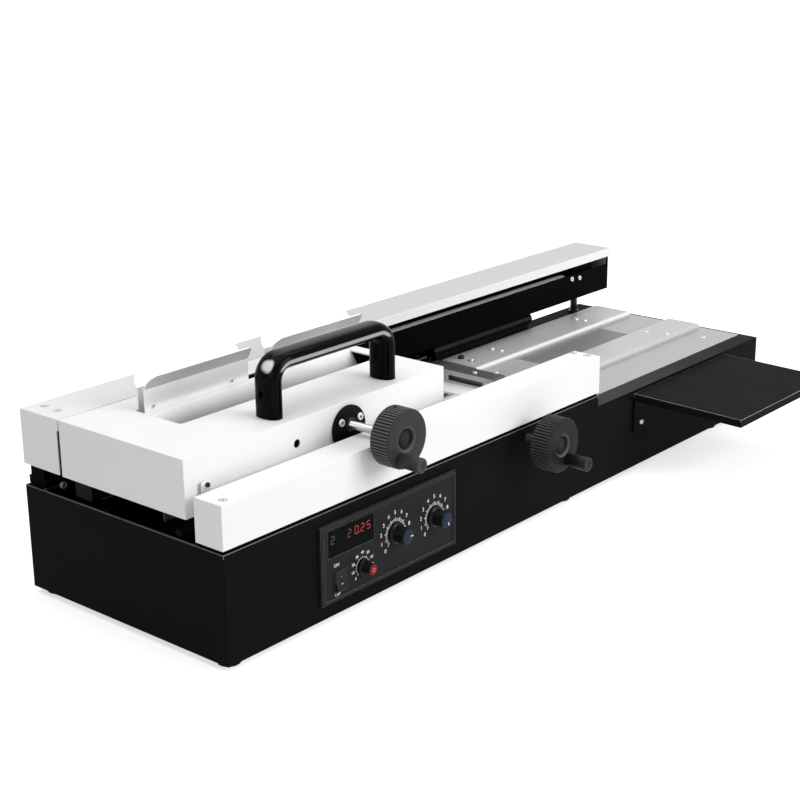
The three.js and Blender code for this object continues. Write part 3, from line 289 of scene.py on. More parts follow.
    @staticmethod
    def _rim_tone() -> bpy.types.NodeTree:
        """Paint shade and highlights on a wheel by the distance from its axis along Y: shaded dish and
        grooves, highlit dish slope and crests.

        Returns:
            The group, with Colour, Dark, Light, Slope, Axis, Dish, Mouth, Groove and Crest in, and
            Colour out.
        """
        wiring, source, sink = new_group(
            "painted_wheel_shading", [(label, "NodeSocketColor", None) for label in ("Colour", "Dark", "Light", "Slope")]
            + [("Axis", "NodeSocketVector", None)]
            + [(label, "NodeSocketFloat", 0.0) for label in ("Dish", "Mouth", "Groove", "Crest")],
            [("Colour", "NodeSocketColor")])
        given = source.outputs
        here = wiring.add("ShaderNodeTexCoord").outputs["Object"]
        off = wiring.vector("SUBTRACT", here, given["Axis"])["Vector"]
        reach = wiring.vector("LENGTH", wiring.vector("MULTIPLY", off, (1.0, 0.0, 1.0))["Vector"])["Value"]
        outer = wiring.maths("GREATER_THAN", reach, given["Groove"])
        within = wiring.maths("LESS_THAN", reach, given["Mouth"])
        colour = wiring.mix(outer, given["Colour"], given["Dark"])
        ridge = wiring.product(outer, wiring.ramp(reach, given["Groove"], given["Crest"]))
        colour = wiring.mix(ridge, colour, given["Light"])
        colour = wiring.mix(within, colour, given["Dark"])
        colour = wiring.mix(wiring.product(within, wiring.ramp(reach, given["Dish"], given["Mouth"])), colour,
                            given["Slope"])
        wiring.give(sink.inputs["Colour"], colour)
        return wiring.tree


effects = Effects()


@dataclass(frozen=True)
class TopSheen:
    """Painted light or shade: another tone on the upward faces of a piece between two places along Y,
    changing along X.
    """

    colour: Colour
    start: float
    end: float
    rest: float
    front: float
    back: float
    first: float = 1.0

    def over(self, wiring: Wiring, colour: bpy.types.NodeSocket) -> bpy.types.NodeSocket:
        """Lay the painted light or shade over a colour and return the mix."""
        return wiring.add("ShaderNodeGroup", {
            "Colour": colour, "Tone": self.colour + (1.0,), "Start": at(self.start, 0.0, 0.0).x,
            "End": at(self.end, 0.0, 0.0).x, "First": self.first, "Rest": self.rest,
            "Front": at(0.0, self.front, 0.0).y, "Back": at(0.0, self.back, 0.0).y},
            node_tree=effects.top_tone).outputs["Colour"]


@dataclass(frozen=True)
class GlossBand:
    """Painted highlight or shade: another tone where a surface faces one way, full at one height and gone at
    another.
    """

    direction: Point
    start: float
    full: float
    colour: Colour
    gone: float
    whole: float

    def over(self, wiring: Wiring, colour: bpy.types.NodeSocket) -> bpy.types.NodeSocket:
        """Lay the painted highlight or shade over a colour and return the mix."""
        return wiring.add("ShaderNodeGroup", {
            "Colour": colour, "Tone": self.colour + (1.0,), "Direction": self.direction, "Start": self.start,
            "Full": self.full, "Gone": at(0.0, 0.0, self.gone).z, "Whole": at(0.0, 0.0, self.whole).z},
            node_tree=effects.facing_tone).outputs["Colour"]


@dataclass(frozen=True)
class RimTone:
    """Painted shade and highlights by the distance from a wheel's own axis: shaded grooves and dish, highlit
    crests and dish slope.
    """

    x: float
    z: float
    groove: float
    crest: float
    dish: float
    mouth: float
    # dark is painted shade in the grooves and the dish; light and slope are painted highlights on the crests
    # and the dish's slope.
    dark: Colour
    light: Colour
    slope: Colour

    def over(self, wiring: Wiring, colour: bpy.types.NodeSocket) -> bpy.types.NodeSocket:
        """Lay the painted shade and highlights over a colour and return the mix."""
        return wiring.add("ShaderNodeGroup", {
            "Colour": colour, "Dark": self.dark + (1.0,), "Light": self.light + (1.0,),
            "Slope": self.slope + (1.0,), "Axis": at(self.x, 0.0, self.z), "Dish": (self.dish + 0.8) * MM,
            "Mouth": self.mouth * MM, "Groove": self.groove * MM, "Crest": (self.crest - 0.15) * MM},
            node_tree=effects.rim_tone).outputs["Colour"]


@dataclass(frozen=True)
class Finish:
    """One surface finish, made into a material with the shared effects, some of which paint light and shade
    into its colour.
    """

    name: str
    slot: str
    colour: Colour
    roughness: float
    metallic: float = 0.0
    specular: float = 0.5
    coat: float = 0.0
    # The edge colour below paints highlights along rounded edges (darker on a few finishes, as painted edge
    # shade), left off below the height given further down.
    edge_colour: Optional[Colour] = None
    edge_radius: float = 0.8
    grain_scale: float = 1400.0
    grain_stretch: Point = (1.0, 1.0, 1.0)
    grain_depth: float = 0.01
    tone_spread: float = 0.04
    wear: float = 0.05
    glow: Optional[Colour] = None
    glow_strength: float = 0.0
    edge_above: Optional[float] = None
    # The next three fields paint light and shade into the colour: on upward faces, round a wheel's axis, and
    # by the way a surface faces.
    sheen: Optional[TopSheen] = None
    rim: Optional[RimTone] = None
    bands: tuple[GlossBand, ...] = ()

    def material(self) -> bpy.types.Material:
        """Build the material once, and return it after that."""
        found = bpy.data.materials.get(self.name)
        return found if found else self._build()

    def _build(self) -> bpy.types.Material:
        """Wire the finish's own colour with its painted light and shade, roughness and normal into a
        Principled shader.

        Returns:
            The new material.
        """
        material = bpy.data.materials.new(self.name)
        material.use_nodes = True
        wiring = Wiring(material.node_tree)
        shader = material.node_tree.nodes["Principled BSDF"]
        place = wiring.add("ShaderNodeTexCoord").outputs["Object"]
        marks = wiring.add("ShaderNodeGroup", {"Vector": place}, node_tree=effects.marks)
        grain = wiring.add("ShaderNodeGroup", {"Vector": place, "Scale": self.grain_scale,
                                               "Stretch": self.grain_stretch}, node_tree=effects.grain)
        edges = wiring.add("ShaderNodeGroup", {"Radius": self.edge_radius * MM}, node_tree=effects.edges)

        dark = tuple(c * (1.0 - self.tone_spread) for c in self.colour) + (1.0,)
        light = tuple(min(1.0, c * (1.0 + self.tone_spread)) for c in self.colour) + (1.0,)
        colour = wiring.mix(wiring.product(marks.outputs["Cloud"], grain.outputs[0]), dark, light)
        # Painted light and shade laid over the finish's own colour.
        if self.sheen:
            colour = self.sheen.over(wiring, colour)
        if self.rim:
            colour = self.rim.over(wiring, colour)
        for light_band in self.bands:
            colour = light_band.over(wiring, colour)
        # Painted edge highlights: the edge colour is mixed in along rounded edges, only above the given
        # height where one is set.
        if self.edge_colour:
            share = edges.outputs["Edge"]
            if self.edge_above is not None:
                height = wiring.parts(wiring.add("ShaderNodeNewGeometry").outputs["Position"])["Z"]
                share = wiring.product(share, wiring.maths("GREATER_THAN", height,
                                                           at(0.0, 0.0, self.edge_above).z))
            colour = wiring.mix(share, colour, self.edge_colour + (1.0,))
        wiring.tree.links.new(colour, shader.inputs["Base Color"])

        rough = wiring.add("ShaderNodeMapRange", {
            "Value": marks.outputs["Cloud"], "From Min": 0.3, "From Max": 0.7,
            "To Min": max(0.02, self.roughness - self.wear), "To Max": min(1.0, self.roughness + self.wear)})
        wiring.tree.links.new(rough.outputs[0], shader.inputs["Roughness"])
        bump = wiring.add("ShaderNodeBump", {"Strength": 1.0, "Distance": self.grain_depth * MM,
                                             "Height": grain.outputs[0], "Normal": edges.outputs["Normal"]})
        wiring.tree.links.new(bump.outputs[0], shader.inputs["Normal"])
        shader.inputs["Metallic"].default_value = self.metallic
        shader.inputs["Specular IOR Level"].default_value = self.specular
        shader.inputs["Coat Weight"].default_value = self.coat
        shader.inputs["Coat Roughness"].default_value = 0.06
        if self.glow:
            shader.inputs["Emission Color"].default_value = self.glow + (1.0,)
            shader.inputs["Emission Strength"].default_value = self.glow_strength
        return material


WHITE_COAT = Finish("white_powder_coat", "white_paint", srgb(0xF1F1F0), 0.42, specular=0.1,
                    edge_colour=srgb(0xFFFFFF), edge_radius=1.3, grain_scale=2200.0, grain_depth=0.004,
                    tone_spread=0.02)
TANK_COAT = Finish("white_trough_coat", "white_paint", srgb(0xEDEDEC), 0.4, specular=0.15, edge_radius=1.0,
                   edge_colour=srgb(0xFAFAF9), grain_depth=0.004, tone_spread=0.02)
# The beam's white coat with painted shade on its upward faces, darker towards the right.
BEAM_COAT_SHADED_TOP = replace(WHITE_COAT, name="white_coat_shaded_top",
                     sheen=TopSheen(srgb(0xCACAC9), -20.0, 420.0, 1.0, 200.0, 320.0, 0.12))
# Painted highlights: paler upward faces on the base's right part from x 631, fading to the right, and pale
# edge highlights along its upper edges.
BLACK_COAT = Finish("black_powder_coat", "black_paint", srgb(0x121212), 0.5, specular=0.012,
                    edge_colour=srgb(0x9A9A9A), edge_radius=1.8, grain_scale=1700.0, grain_depth=0.014,
                    tone_spread=0.12, wear=0.05, edge_above=-4.0,
                    sheen=TopSheen(srgb(0x424242), 631.0, 980.0, 0.2, 0.0, 28.0))
BLACK_PLAIN = Finish("black_flat_paint", "black_paint", srgb(0x060606), 0.55, specular=0.01,
                     edge_colour=srgb(0x0C0C0C), edge_radius=0.7)
# Painted highlight along the leaf's upper edges.
LEAF_COAT = Finish("leaf_powder_coat", "black_paint", srgb(0x161616), 0.5, specular=0.012,
                   edge_colour=srgb(0xD8D8D8), edge_radius=0.9, grain_scale=1700.0, grain_depth=0.012,
                   edge_above=-24.0)
BAR_COAT = Finish("satin_black_bar", "black_paint", srgb(0x121212), 0.36, specular=0.2, edge_radius=0.5,
                  grain_depth=0.004)
FLANGE_COAT = Finish("black_flange_coat", "black_paint", srgb(0x080808), 0.4, specular=0.05,
                     edge_colour=srgb(0x4A4A4A), edge_radius=0.6)
DARK_PAINT = Finish("dark_grey_enamel", "dark_paint", srgb(0x141414), 0.5, specular=0.03,
                    edge_colour=srgb(0x303030), edge_radius=0.7)
# Painted highlight: a pale tone on the bracket's faces towards -X, above a height, and pale edge highlights.
BRACKET_GREY = Finish("grey_bracket_enamel", "dark_paint", srgb(0x4A4A4A), 0.45, specular=0.15,
                      edge_colour=srgb(0xC4C4C4), edge_radius=0.9,
                      bands=(GlossBand((-1.0, 0.0, 0.0), 0.8, 0.95, srgb(0xCACACA), -30.0, -29.0),))
TABLE_SHEET = Finish("brushed_table", "plated_steel", srgb(0xB0B0B0), 0.42, metallic=0.25,
                     edge_colour=srgb(0xF6F6F6), grain_scale=260.0, grain_stretch=(0.02, 4.0, 4.0),
                     grain_depth=0.008, tone_spread=0.08, edge_radius=0.6)
PLATEN_GREY = Finish("brushed_platen", "plated_steel", srgb(0x7A7A7A), 0.45, metallic=0.3,
                     edge_colour=srgb(0x777777), grain_scale=260.0, grain_stretch=(0.02, 4.0, 4.0),
                     grain_depth=0.012, tone_spread=0.12, edge_radius=0.5)
NIP_SHEET = Finish("satin_nip_plate", "aluminium", srgb(0xBEBEBE), 0.4, metallic=0.3,
                   edge_colour=srgb(0xF4F4F4), grain_scale=300.0, grain_stretch=(0.03, 3.0, 3.0),
                   grain_depth=0.006, tone_spread=0.05, edge_radius=1.0)
# Painted highlight on the faces of the rolled nose that lean up and forward, and along its wide rounded
# edges.
REAR_NIP_SHEET = Finish("rolled_nip_plate", "aluminium", srgb(0xAEAEAE), 0.36, metallic=0.25,
                        bands=(GlossBand((0.0, -0.6, 0.8), 0.72, 0.97, srgb(0xE4E4E4), -30.0, -29.0),),
                        edge_colour=srgb(0xFFFFFF), grain_scale=300.0, grain_stretch=(0.03, 3.0, 3.0),
                        grain_depth=0.006, tone_spread=0.06, edge_radius=2.4)
# Painted shade: a dark tone on faces that lean forward and up, whole below z 58 and gone by z 86.
SATIN_ALUMINIUM = Finish("satin_aluminium", "aluminium", srgb(0xF0F0F0), 0.36, metallic=0.2,
                         edge_colour=srgb(0xF6F6F6), grain_scale=300.0, grain_stretch=(0.03, 3.0, 3.0),
                         grain_depth=0.006, tone_spread=0.05, edge_radius=1.0,
                         bands=(GlossBand((0.0, -0.838, 0.546), 0.86, 0.95, srgb(0x3A3A3A), 86.0, 58.0),))
# Painted shade: a grey tone on the front guides' flare, which leans forward and faces down.
GUIDE_SHEET = Finish("satin_guide_sheet", "polished_steel", srgb(0xFCFCFC), 0.38, metallic=0.25,
                     edge_colour=srgb(0xFAFAFA), grain_scale=240.0, grain_stretch=(0.05, 4.0, 4.0),
                     grain_depth=0.004, tone_spread=0.05, wear=0.04, edge_radius=0.5,
                     bands=(GlossBand((0.0, -0.855, -0.52), 0.93, 0.97, srgb(0xBEBEBE), 100.0, 101.0),))
BRIGHT_GUIDE = replace(GUIDE_SHEET, name="bright_guide_sheet", roughness=0.2, metallic=0.85, bands=())
SHAFT_STEEL = Finish("satin_shaft_steel", "polished_steel", srgb(0xFAFAFA), 0.34, metallic=0.1,
                     grain_scale=500.0, grain_stretch=(6.0, 0.3, 0.3), grain_depth=0.002, wear=0.04)
GROUND_STEEL = Finish("ground_steel", "polished_steel", srgb(0xBABABA), 0.2, metallic=0.85,
                      grain_scale=500.0, grain_stretch=(6.0, 0.3, 0.3), grain_depth=0.002, wear=0.04)
ZINC = Finish("bright_zinc", "polished_steel", srgb(0xE4E4E4), 0.3, metallic=0.5, edge_radius=0.2,
              edge_colour=srgb(0xF8F8F8), grain_depth=0.004)
BLACK_OXIDE = Finish("black_oxide_screw", "black_paint", srgb(0x151515), 0.38, metallic=0.4, edge_radius=0.2,
                     edge_colour=srgb(0x4C4C4C), grain_depth=0.004)
PAINTED_SCREW = Finish("painted_screw", "white_paint", srgb(0xE3E3E2), 0.4, edge_radius=0.2,
                       edge_colour=srgb(0xC6C6C5), grain_depth=0.004)
SHADOW_RING = Finish("countersink_shadow", "white_paint", srgb(0x9B9B9A), 0.6, grain_depth=0.004)
DRIVE_SHADOW = Finish("drive_recess", "black_paint", srgb(0x1E1E1E), 0.6, grain_depth=0.004)
MATT_PLASTIC = Finish("matt_black_plastic", "black_plastic", srgb(0x141414), 0.46, specular=0.08,
                      edge_colour=srgb(0x8A8A8A), edge_radius=0.3, grain_scale=1500.0, grain_depth=0.004,
                      tone_spread=0.08)
CRANK_PLASTIC = Finish("crank_black_plastic", "black_plastic", srgb(0x343434), 0.42, specular=0.14,
                       edge_colour=srgb(0x8A8A8A), edge_radius=0.4, grain_scale=1500.0, grain_depth=0.004)
# The same crank plastic made darker, as painted shade on the nip's crank.
SHADED_CRANK = replace(CRANK_PLASTIC, name="shaded_crank_plastic", colour=srgb(0x141414))
KNOB_PLASTIC = Finish("knob_black_plastic", "black_plastic", srgb(0x0A0A0A), 0.3, specular=0.12,
                      edge_colour=srgb(0x2E2E2E), edge_radius=0.3, grain_depth=0.004)
HUB_PLASTIC = Finish("hub_cap_plastic", "black_plastic", srgb(0x1E1E1E), 0.42, specular=0.08,
                     edge_colour=srgb(0x6A6A6A), edge_radius=0.3, grain_depth=0.008)
PANEL_FACE = Finish("panel_face", "black_plastic", srgb(0x252525), 0.5, specular=0.03,
                    edge_colour=srgb(0x8C8C8C), edge_radius=0.5, grain_scale=1900.0, grain_depth=0.01)
# Painted highlights on the grip: a grey band on its top, a pale band on its bar's front and a bright patch on
# its left bend.
GLOSS_BLACK = Finish("gloss_black_grip", "gloss_black", srgb(0x020202), 0.06, specular=0.05, coat=0.0,
                     grain_scale=60.0, grain_depth=0.003, wear=0.03,
                     bands=(GlossBand((0.0, 0.0, 1.0), 0.9, 0.99, srgb(0x3E3E3E), 139.0, 141.0),
                            GlossBand((0.0, -0.995, -0.1), 0.965, 0.992, srgb(0xA4A4A4), 133.0, 136.0),
                            GlossBand((-0.79, -0.15, 0.59), 0.955, 0.985, srgb(0xE6E6E6), 123.0, 126.0)))
ROCKER_BLACK = Finish("rocker_black", "gloss_black", srgb(0x161616), 0.22, specular=0.12,
                      edge_colour=srgb(0x6A6A6A), edge_radius=0.4)
RUBBER = Finish("foot_rubber", "rubber", srgb(0x101010), 0.85, specular=0.1, grain_scale=900.0,
                grain_depth=0.03, edge_colour=srgb(0x1C1C1C))
DARK_WINDOW = Finish("dark_window", "display_filter", srgb(0x060707), 0.2, specular=0.02,
                     grain_depth=0.001, edge_colour=srgb(0x0E0E0E), edge_radius=0.4)
BOARD = Finish("green_board", "circuit_board", srgb(0x1C5A34), 0.5, grain_depth=0.01)
WHITE_INK = Finish("white_print", "black_plastic", srgb(0xFFFFFF), 0.5, grain_depth=0.001)
BLUE_CAP = Finish("blue_grey_cap", "black_plastic", srgb(0x1A2430), 0.4, specular=0.1, edge_radius=0.3,
                  edge_colour=srgb(0x46566C), grain_depth=0.004)
BRIGHT_BLUE_CAP = Finish("blue_cap", "black_plastic", srgb(0x14243E), 0.4, specular=0.1, edge_radius=0.3,
                         edge_colour=srgb(0x4668A0), grain_depth=0.004)
RED_CAP = Finish("red_cap", "black_plastic", srgb(0x7E101A), 0.4, specular=0.1, edge_radius=0.3,
                 edge_colour=srgb(0xB02C34), grain_depth=0.004)
PINK_INK = Finish("pink_print", "black_plastic", srgb(0xF0A0A4), 0.5, grain_depth=0.001)
RED_GLOW = Finish("lit_segment", "display_filter", srgb(0x5A0206), 0.5, glow=srgb(0xBC1018),
                  glow_strength=0.75)
DIM_GLOW = Finish("dim_segment", "display_filter", srgb(0x3A0204), 0.5, glow=srgb(0x6A0A12),
                  glow_strength=0.4)


# Mesh building


class Side(Enum):
    """The way a surface faces: its local X, local Y and outward normal."""

    FRONT = ((1, 0, 0), (0, 0, 1), (0, -1, 0))
    BACK = ((-1, 0, 0), (0, 0, 1), (0, 1, 0))
    LEFT = ((0, -1, 0), (0, 0, 1), (-1, 0, 0))
    RIGHT = ((0, 1, 0), (0, 0, 1), (1, 0, 0))
    TOP = ((1, 0, 0), (0, 1, 0), (0, 0, 1))
    UNDER = ((1, 0, 0), (0, -1, 0), (0, 0, -1))

    def place(self, point: Point, turn: float = 0.0) -> Matrix:
        """Give the placing of a local shape that stands on this side.

        Args:
            point: the local origin on the machine's axes.
            turn: a turn about the normal, in degrees.

        Returns:
            The matrix from local to machine millimetres.
        """
        across, up, normal = (Vector(v) for v in self.value)
        basis = Matrix((across, up, normal)).transposed().to_4x4()
        return Matrix.Translation(Vector(point)) @ basis @ Matrix.Rotation(math.radians(turn), 4, "Z")


class Drive(Enum):
    """The recess in a screw's head."""

    CROSS = "cross"
    HEX = "hex"

    def outline(self, size: float) -> Callable[[float], float]:
        """Give the recess's radius at each angle for a recess of this size."""
        if self is Drive.HEX:
            return lambda a: size * 0.87 / math.cos((a + TURN / 12) % (TURN / 6) - TURN / 12)

        def cross(angle: float) -> float:
            """Radius of a cross whose arms are a third as wide as long."""
            lean = abs((angle + TURN / 8) % (TURN / 4) - TURN / 8)
            return size / math.cos(lean) if math.tan(lean) < 0.3 else size * 0.3 / math.sin(lean)
        return cross


def smooth_step(share: float) -> float:
    """Ease a share of one in and out."""
    share = min(1.0, max(0.0, share))
    return share * share * (3.0 - 2.0 * share)


class Shape:
    """A mesh in the making, in machine millimetres."""

    def __init__(self) -> None:
        """Start with no corners or faces."""
        self.corners: list[Vector] = []
        self.faces: list[tuple[int, ...]] = []

    def add(self, corners: Sequence[Vector], faces: Sequence[Sequence[int]], place: Matrix) -> "Shape":
        """Add a ready mesh at a place and return the shape."""
        first = len(self.corners)
        self.corners += [place @ Vector(c) for c in corners]
        self.faces += [tuple(first + i for i in face) for face in faces]
        return self

    def turned(self, profile: Sequence[tuple[Radius, float]], place: Matrix, sides: int = 48) -> "Shape":
        """Add a turned piece about the local Z axis.

        Args:
            profile: (radius, height) from the axis and back to it, or a closed ring of them. A radius
                may be a function of the angle.
            place: where the piece stands.
            sides: how many facets go round.

        Returns:
            The shape itself.
        """
        corners: list[Vector] = []
        rings: list[list[int]] = []
        for radius, height in profile:
            if radius == 0:
                corners.append(Vector((0.0, 0.0, height)))
                rings.append([len(corners) - 1] * sides)
                continue
            ring = []
            for k in range(sides):
                a = TURN * k / sides
                r = radius(a) if callable(radius) else radius
                corners.append(Vector((r * math.cos(a), r * math.sin(a), height)))
                ring.append(len(corners) - 1)
            rings.append(ring)
        if profile[0][0] != 0:
            rings.append(rings[0])
        faces = []
        for low, high in zip(rings, rings[1:]):
            for k in range(sides):
                n = (k + 1) % sides
                face = list(dict.fromkeys((low[k], low[n], high[n], high[k])))
                if len(face) > 2:
                    faces.append(face)
        return self.add(corners, faces, place)

    def slab(self, outline: Sequence[Flat], low: float, high: float, place: Matrix) -> "Shape":
        """Add a flat piece: an outline in local X and Y, from one height to another."""
        count = len(outline)
        corners = [Vector((x, y, h)) for h in (low, high) for x, y in outline]
        faces: list[Sequence[int]] = [tuple(range(count))[::-1], tuple(range(count, 2 * count))]
        faces += [(k, (k + 1) % count, count + (k + 1) % count, count + k) for k in range(count)]
        return self.add(corners, faces, place)

    def box(self, low: Point, high: Point) -> "Shape":
        """Add a block between two corners on the machine's axes."""
        outline = [(low[0], low[1]), (high[0], low[1]), (high[0], high[1]), (low[0], high[1])]
        return self.slab(outline, low[2], high[2], Matrix.Identity(4))

    def swept(self, path: Sequence[Vector], section: Sequence[Flat], across: Vector) -> "Shape":
        """Add a bar whose section follows a path in a plane.

        Args:
            path: the middle of the bar, point by point.
            section: the section's points, along across and in the path's own plane.
            across: the direction square to the path's plane.

        Returns:
            The shape itself.
        """
        corners: list[Vector] = []
        count = len(section)
        for k, point in enumerate(path):
            ahead = (path[min(k + 1, len(path) - 1)] - path[max(k - 1, 0)]).normalized()
            side = ahead.cross(across).normalized()
            corners += [point + across * u + side * v for u, v in section]
        faces: list[Sequence[int]] = [tuple(range(count))]
        last = (len(path) - 1) * count
        faces.append(tuple(last + k for k in range(count))[::-1])
        for row in range(len(path) - 1):
            for k in range(count):
                n = (k + 1) % count
                faces.append((row * count + k, row * count + n, (row + 1) * count + n, (row + 1) * count + k))
        return self.add(corners, faces, Matrix.Identity(4))

    def text(self, words: str, size: float, place: Matrix, depth: float = 0.05,
             bold: float = 0.09) -> "Shape":
        """Add raised letters or numbers, centred on the local origin, with strokes grown by bold."""
        curve = bpy.data.curves.new("letters", "FONT")
        curve.body = words
        curve.size = size
        curve.extrude = depth
        curve.offset = bold
        curve.align_x = "CENTER"
        curve.align_y = "CENTER"
        curve.resolution_u = 3
        holder = bpy.data.objects.new("letters", curve)
        bpy.context.scene.collection.objects.link(holder)
        bpy.context.view_layer.update()
        mesh = bpy.data.meshes.new_from_object(holder.evaluated_get(bpy.context.evaluated_depsgraph_get()))
        self.add([v.co.copy() for v in mesh.vertices], [tuple(p.vertices) for p in mesh.polygons], place)
        bpy.data.objects.remove(holder)
        bpy.data.curves.remove(curve)
        bpy.data.meshes.remove(mesh)
        return self

    def piece(self, name: str, body: str, finish: Finish, round_edges: float = 0.0, sharp: float = 35.0,
              replaces: Sequence[str] = ()) -> bpy.types.Object:
        """Make the shape an object of the scene.

        Args:
            name: the piece's name.
            body: the body that it rides on.
            finish: its finish.
            round_edges: radius of the rounding of its sharp edges, in millimetres.
            sharp: the angle in degrees past which an edge stays sharp in the shading.
            replaces: the solids that it stands for.

        Returns:
            The new object.
        """
        built = bmesh.new()
        for corner in self.corners:
            built.verts.new(at(*corner))
        built.verts.ensure_lookup_table()
        for face in self.faces:
            if len(set(face)) > 2:
                try:
                    built.faces.new([built.verts[i] for i in face])
                except ValueError:
                    log.debug("%s repeats a face", name)
        bmesh.ops.remove_doubles(built, verts=built.verts, dist=1e-7)
        bmesh.ops.recalc_face_normals(built, faces=built.faces)
        if round_edges:
            limit = math.radians(sharp)
            edges = [e for e in built.edges if len(e.link_faces) == 2 and e.calc_face_angle(0.0) > limit]
            bmesh.ops.bevel(built, geom=edges, offset=round_edges * MM, segments=2, affect="EDGES",
                            clamp_overlap=True, profile=0.6)
        for face in built.faces:
            face.smooth = True
        for edge in built.edges:
            if len(edge.link_faces) == 2 and edge.calc_face_angle(0.0) > math.radians(sharp):
                edge.smooth = False
        mesh = bpy.data.meshes.new(name)
        built.to_mesh(mesh)
        built.free()
        mesh.materials.append(finish.material())
        made = bpy.data.objects.new(name, mesh)
        bpy.context.scene.collection.objects.link(made)
        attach(made, body)
        if replaces:
            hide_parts(*replaces)
        log.info("%s: %d faces on %s", name, len(mesh.polygons), body)
        return made


def dress(finish: Finish, *nodes: str) -> None:
    """Give carried-over solids their finish."""
    for name in nodes:
        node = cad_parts[name]
        node.data.materials.clear()
        node.data.materials.append(finish.material())


def arc(centre: Flat, radius: float, start: float, end: float, steps: int = 8) -> list[Flat]:
    """Give the points of an arc, angles in degrees."""
    angles = [math.radians(start + (end - start) * k / steps) for k in range(steps + 1)]
    return [(centre[0] + radius * math.cos(a), centre[1] + radius * math.sin(a)) for a in angles]


def rounded(width: float, height: float, radius: float) -> list[Flat]:
    """Give a rectangle with round corners, centred on the origin."""
    u, v = width / 2 - radius, height / 2 - radius
    return arc((u, v), radius, 0, 90) + arc((-u, v), radius, 90, 180) + arc((-u, -v), radius, 180, 270) \
        + arc((u, -v), radius, 270, 360)


@dataclass
class Screw:
    """A screw's head on a surface: a dome or a flush cone, with its drive."""

    radius: float
    height: float
    drive: Drive
    finish: Finish
    countersunk: bool = False

    def put(self, name: str, body: str, side: Side, points: Sequence[Point], turn: float = 20.0) -> None:
        """Set one of these screws at each point.

        Args:
            name: the pieces' common name.
            body: the body that they ride on.
            side: the way their heads face.
            points: where they sit on the surface.
            turn: the first drive's turn in degrees.
        """
        heads, wells, rings = Shape(), Shape(), Shape()
        r, h = self.radius, self.height
        recess = self.drive.outline(r * 0.55)
        for k, point in enumerate(points):
            place = side.place(point, turn + 37.0 * k)
            rim = r * (0.97 if self.countersunk else 0.86)
            heads.turned([(r, 0.0), (r, h * 0.55), (rim, h), (recess, h), (recess, h * 0.35), (0, h * 0.3),
                          (r * 0.2, 0.0)], place, 48)
            # A dark disc at the floor of each drive recess, as painted shadow.
            wells.turned([(0, h * 0.36), (lambda a: recess(a) * 0.97, h * 0.36),
                          (lambda a: recess(a) * 0.97, h * 0.4), (0, h * 0.4)], place, 48)
            # A darker ring round each flush head, as painted shadow.
            if self.countersunk:
                rings.turned([(r * 1.02, 0.0), (r * 1.3, 0.0), (r * 1.28, 0.06), (r * 1.03, 0.06)], place, 40)
        heads.piece(f"{name}_heads", body, self.finish)
        wells.piece(f"{name}_drives", body, DRIVE_SHADOW)
        if self.countersunk:
            rings.piece(f"{name}_rings", body, SHADOW_RING)


FLUSH = Screw(3.5, 0.35, Drive.CROSS, PAINTED_SCREW, countersunk=True)
BRIGHT_DOME = Screw(3.4, 1.9, Drive.CROSS, ZINC)
BRIGHT_CAP = Screw(4.2, 3.4, Drive.HEX, ZINC)
BLACK_CAP = Screw(4.2, 4.0, Drive.HEX, BLACK_OXIDE)
SMALL_DOME = Screw(2.6, 1.5, Drive.CROSS, ZINC)
FLANGE_DOME = Screw(4.2, 2.0, Drive.CROSS, ZINC)
LOW_DOME = Screw(3.8, 1.2, Drive.CROSS, ZINC)
BLACK_CAP_SMALL = Screw(2.6, 1.8, Drive.HEX, BLACK_OXIDE)
SET_SCREW = Screw(2.3, 1.9, Drive.HEX, BLACK_OXIDE)


# Sub-assemblies


@dataclass
class Base:
    """The sheet chassis with its floor, deck, feet and the inlet at its back."""

    foot_radius: float = 13.0
    foot_height: float = 6.5
    foot_top: float = -116.8
    foot_columns: dict[str, float] = field(
        default_factory=lambda: {"left": 18.0, "middle": 578.0, "right": 930.0})
    foot_rows: dict[str, float] = field(default_factory=lambda: {"front": 18.0, "rear": 282.0})
    inlet: Point = (75.0, 302.5, -62.0)

    def build(self) -> None:
        """Make the feet, the inlet's pins and the chassis screws."""
        r, h = self.foot_radius, self.foot_height
        for column, x in self.foot_columns.items():
            for row, y in self.foot_rows.items():
                place = Side.UNDER.place((x, y, self.foot_top))
                profile = [(0, 0.0), (r, 0.0), (r, 0.8), (r - 0.5, 1.4), (r - 0.7, h - 1.6),
                           (r - 1.4, h - 0.5), (r - 2.6, h), (5.2, h), (4.6, h - 0.8),
                           (4.4, h - 3.2), (0, h - 3.2)]
                Shape().turned(profile, place, 40).piece(f"rubber_foot_{row}_{column}", "base", RUBBER,
                                                         replaces=[f"foot_{row}_{column}"])
        centres = [(x, y, self.foot_top - h + 3.3) for x in self.foot_columns.values()
                   for y in self.foot_rows.values()]
        Screw(3.6, 1.6, Drive.CROSS, ZINC).put("foot_screw", "base", Side.UNDER, centres)
        pins = Shape()
        x, y, z = self.inlet
        for dx, dz in ((-6.5, -2.0), (6.5, -2.0), (0.0, 2.5)):
            outline = rounded(1.9, 5.0, 0.6)
            pins.slab(outline, -15.8, -4.5, Side.BACK.place((x + dx, y, z + dz)))
        pins.piece("inlet_pins", "base", ZINC, round_edges=0.25)
        floor_screws = [(x, y, -116.5) for x in (120.0, 360.0, 700.0, 980.0) for y in (12.0, 288.0)]
        Screw(3.0, 1.3, Drive.CROSS, BLACK_OXIDE).put("floor_screw", "base", Side.UNDER, floor_screws)

    def dress(self) -> None:
        """Finish the carried-over solids."""
        dress(BLACK_COAT, "base_chassis", "floor_plate")
        dress(BLACK_PLAIN, "deck_plate")
        dress(MATT_PLASTIC, "power_inlet")
        dress(BOARD, "control_board")
        dress(DARK_PAINT, "heater_plate", "cutter_motor", "gear_motor")


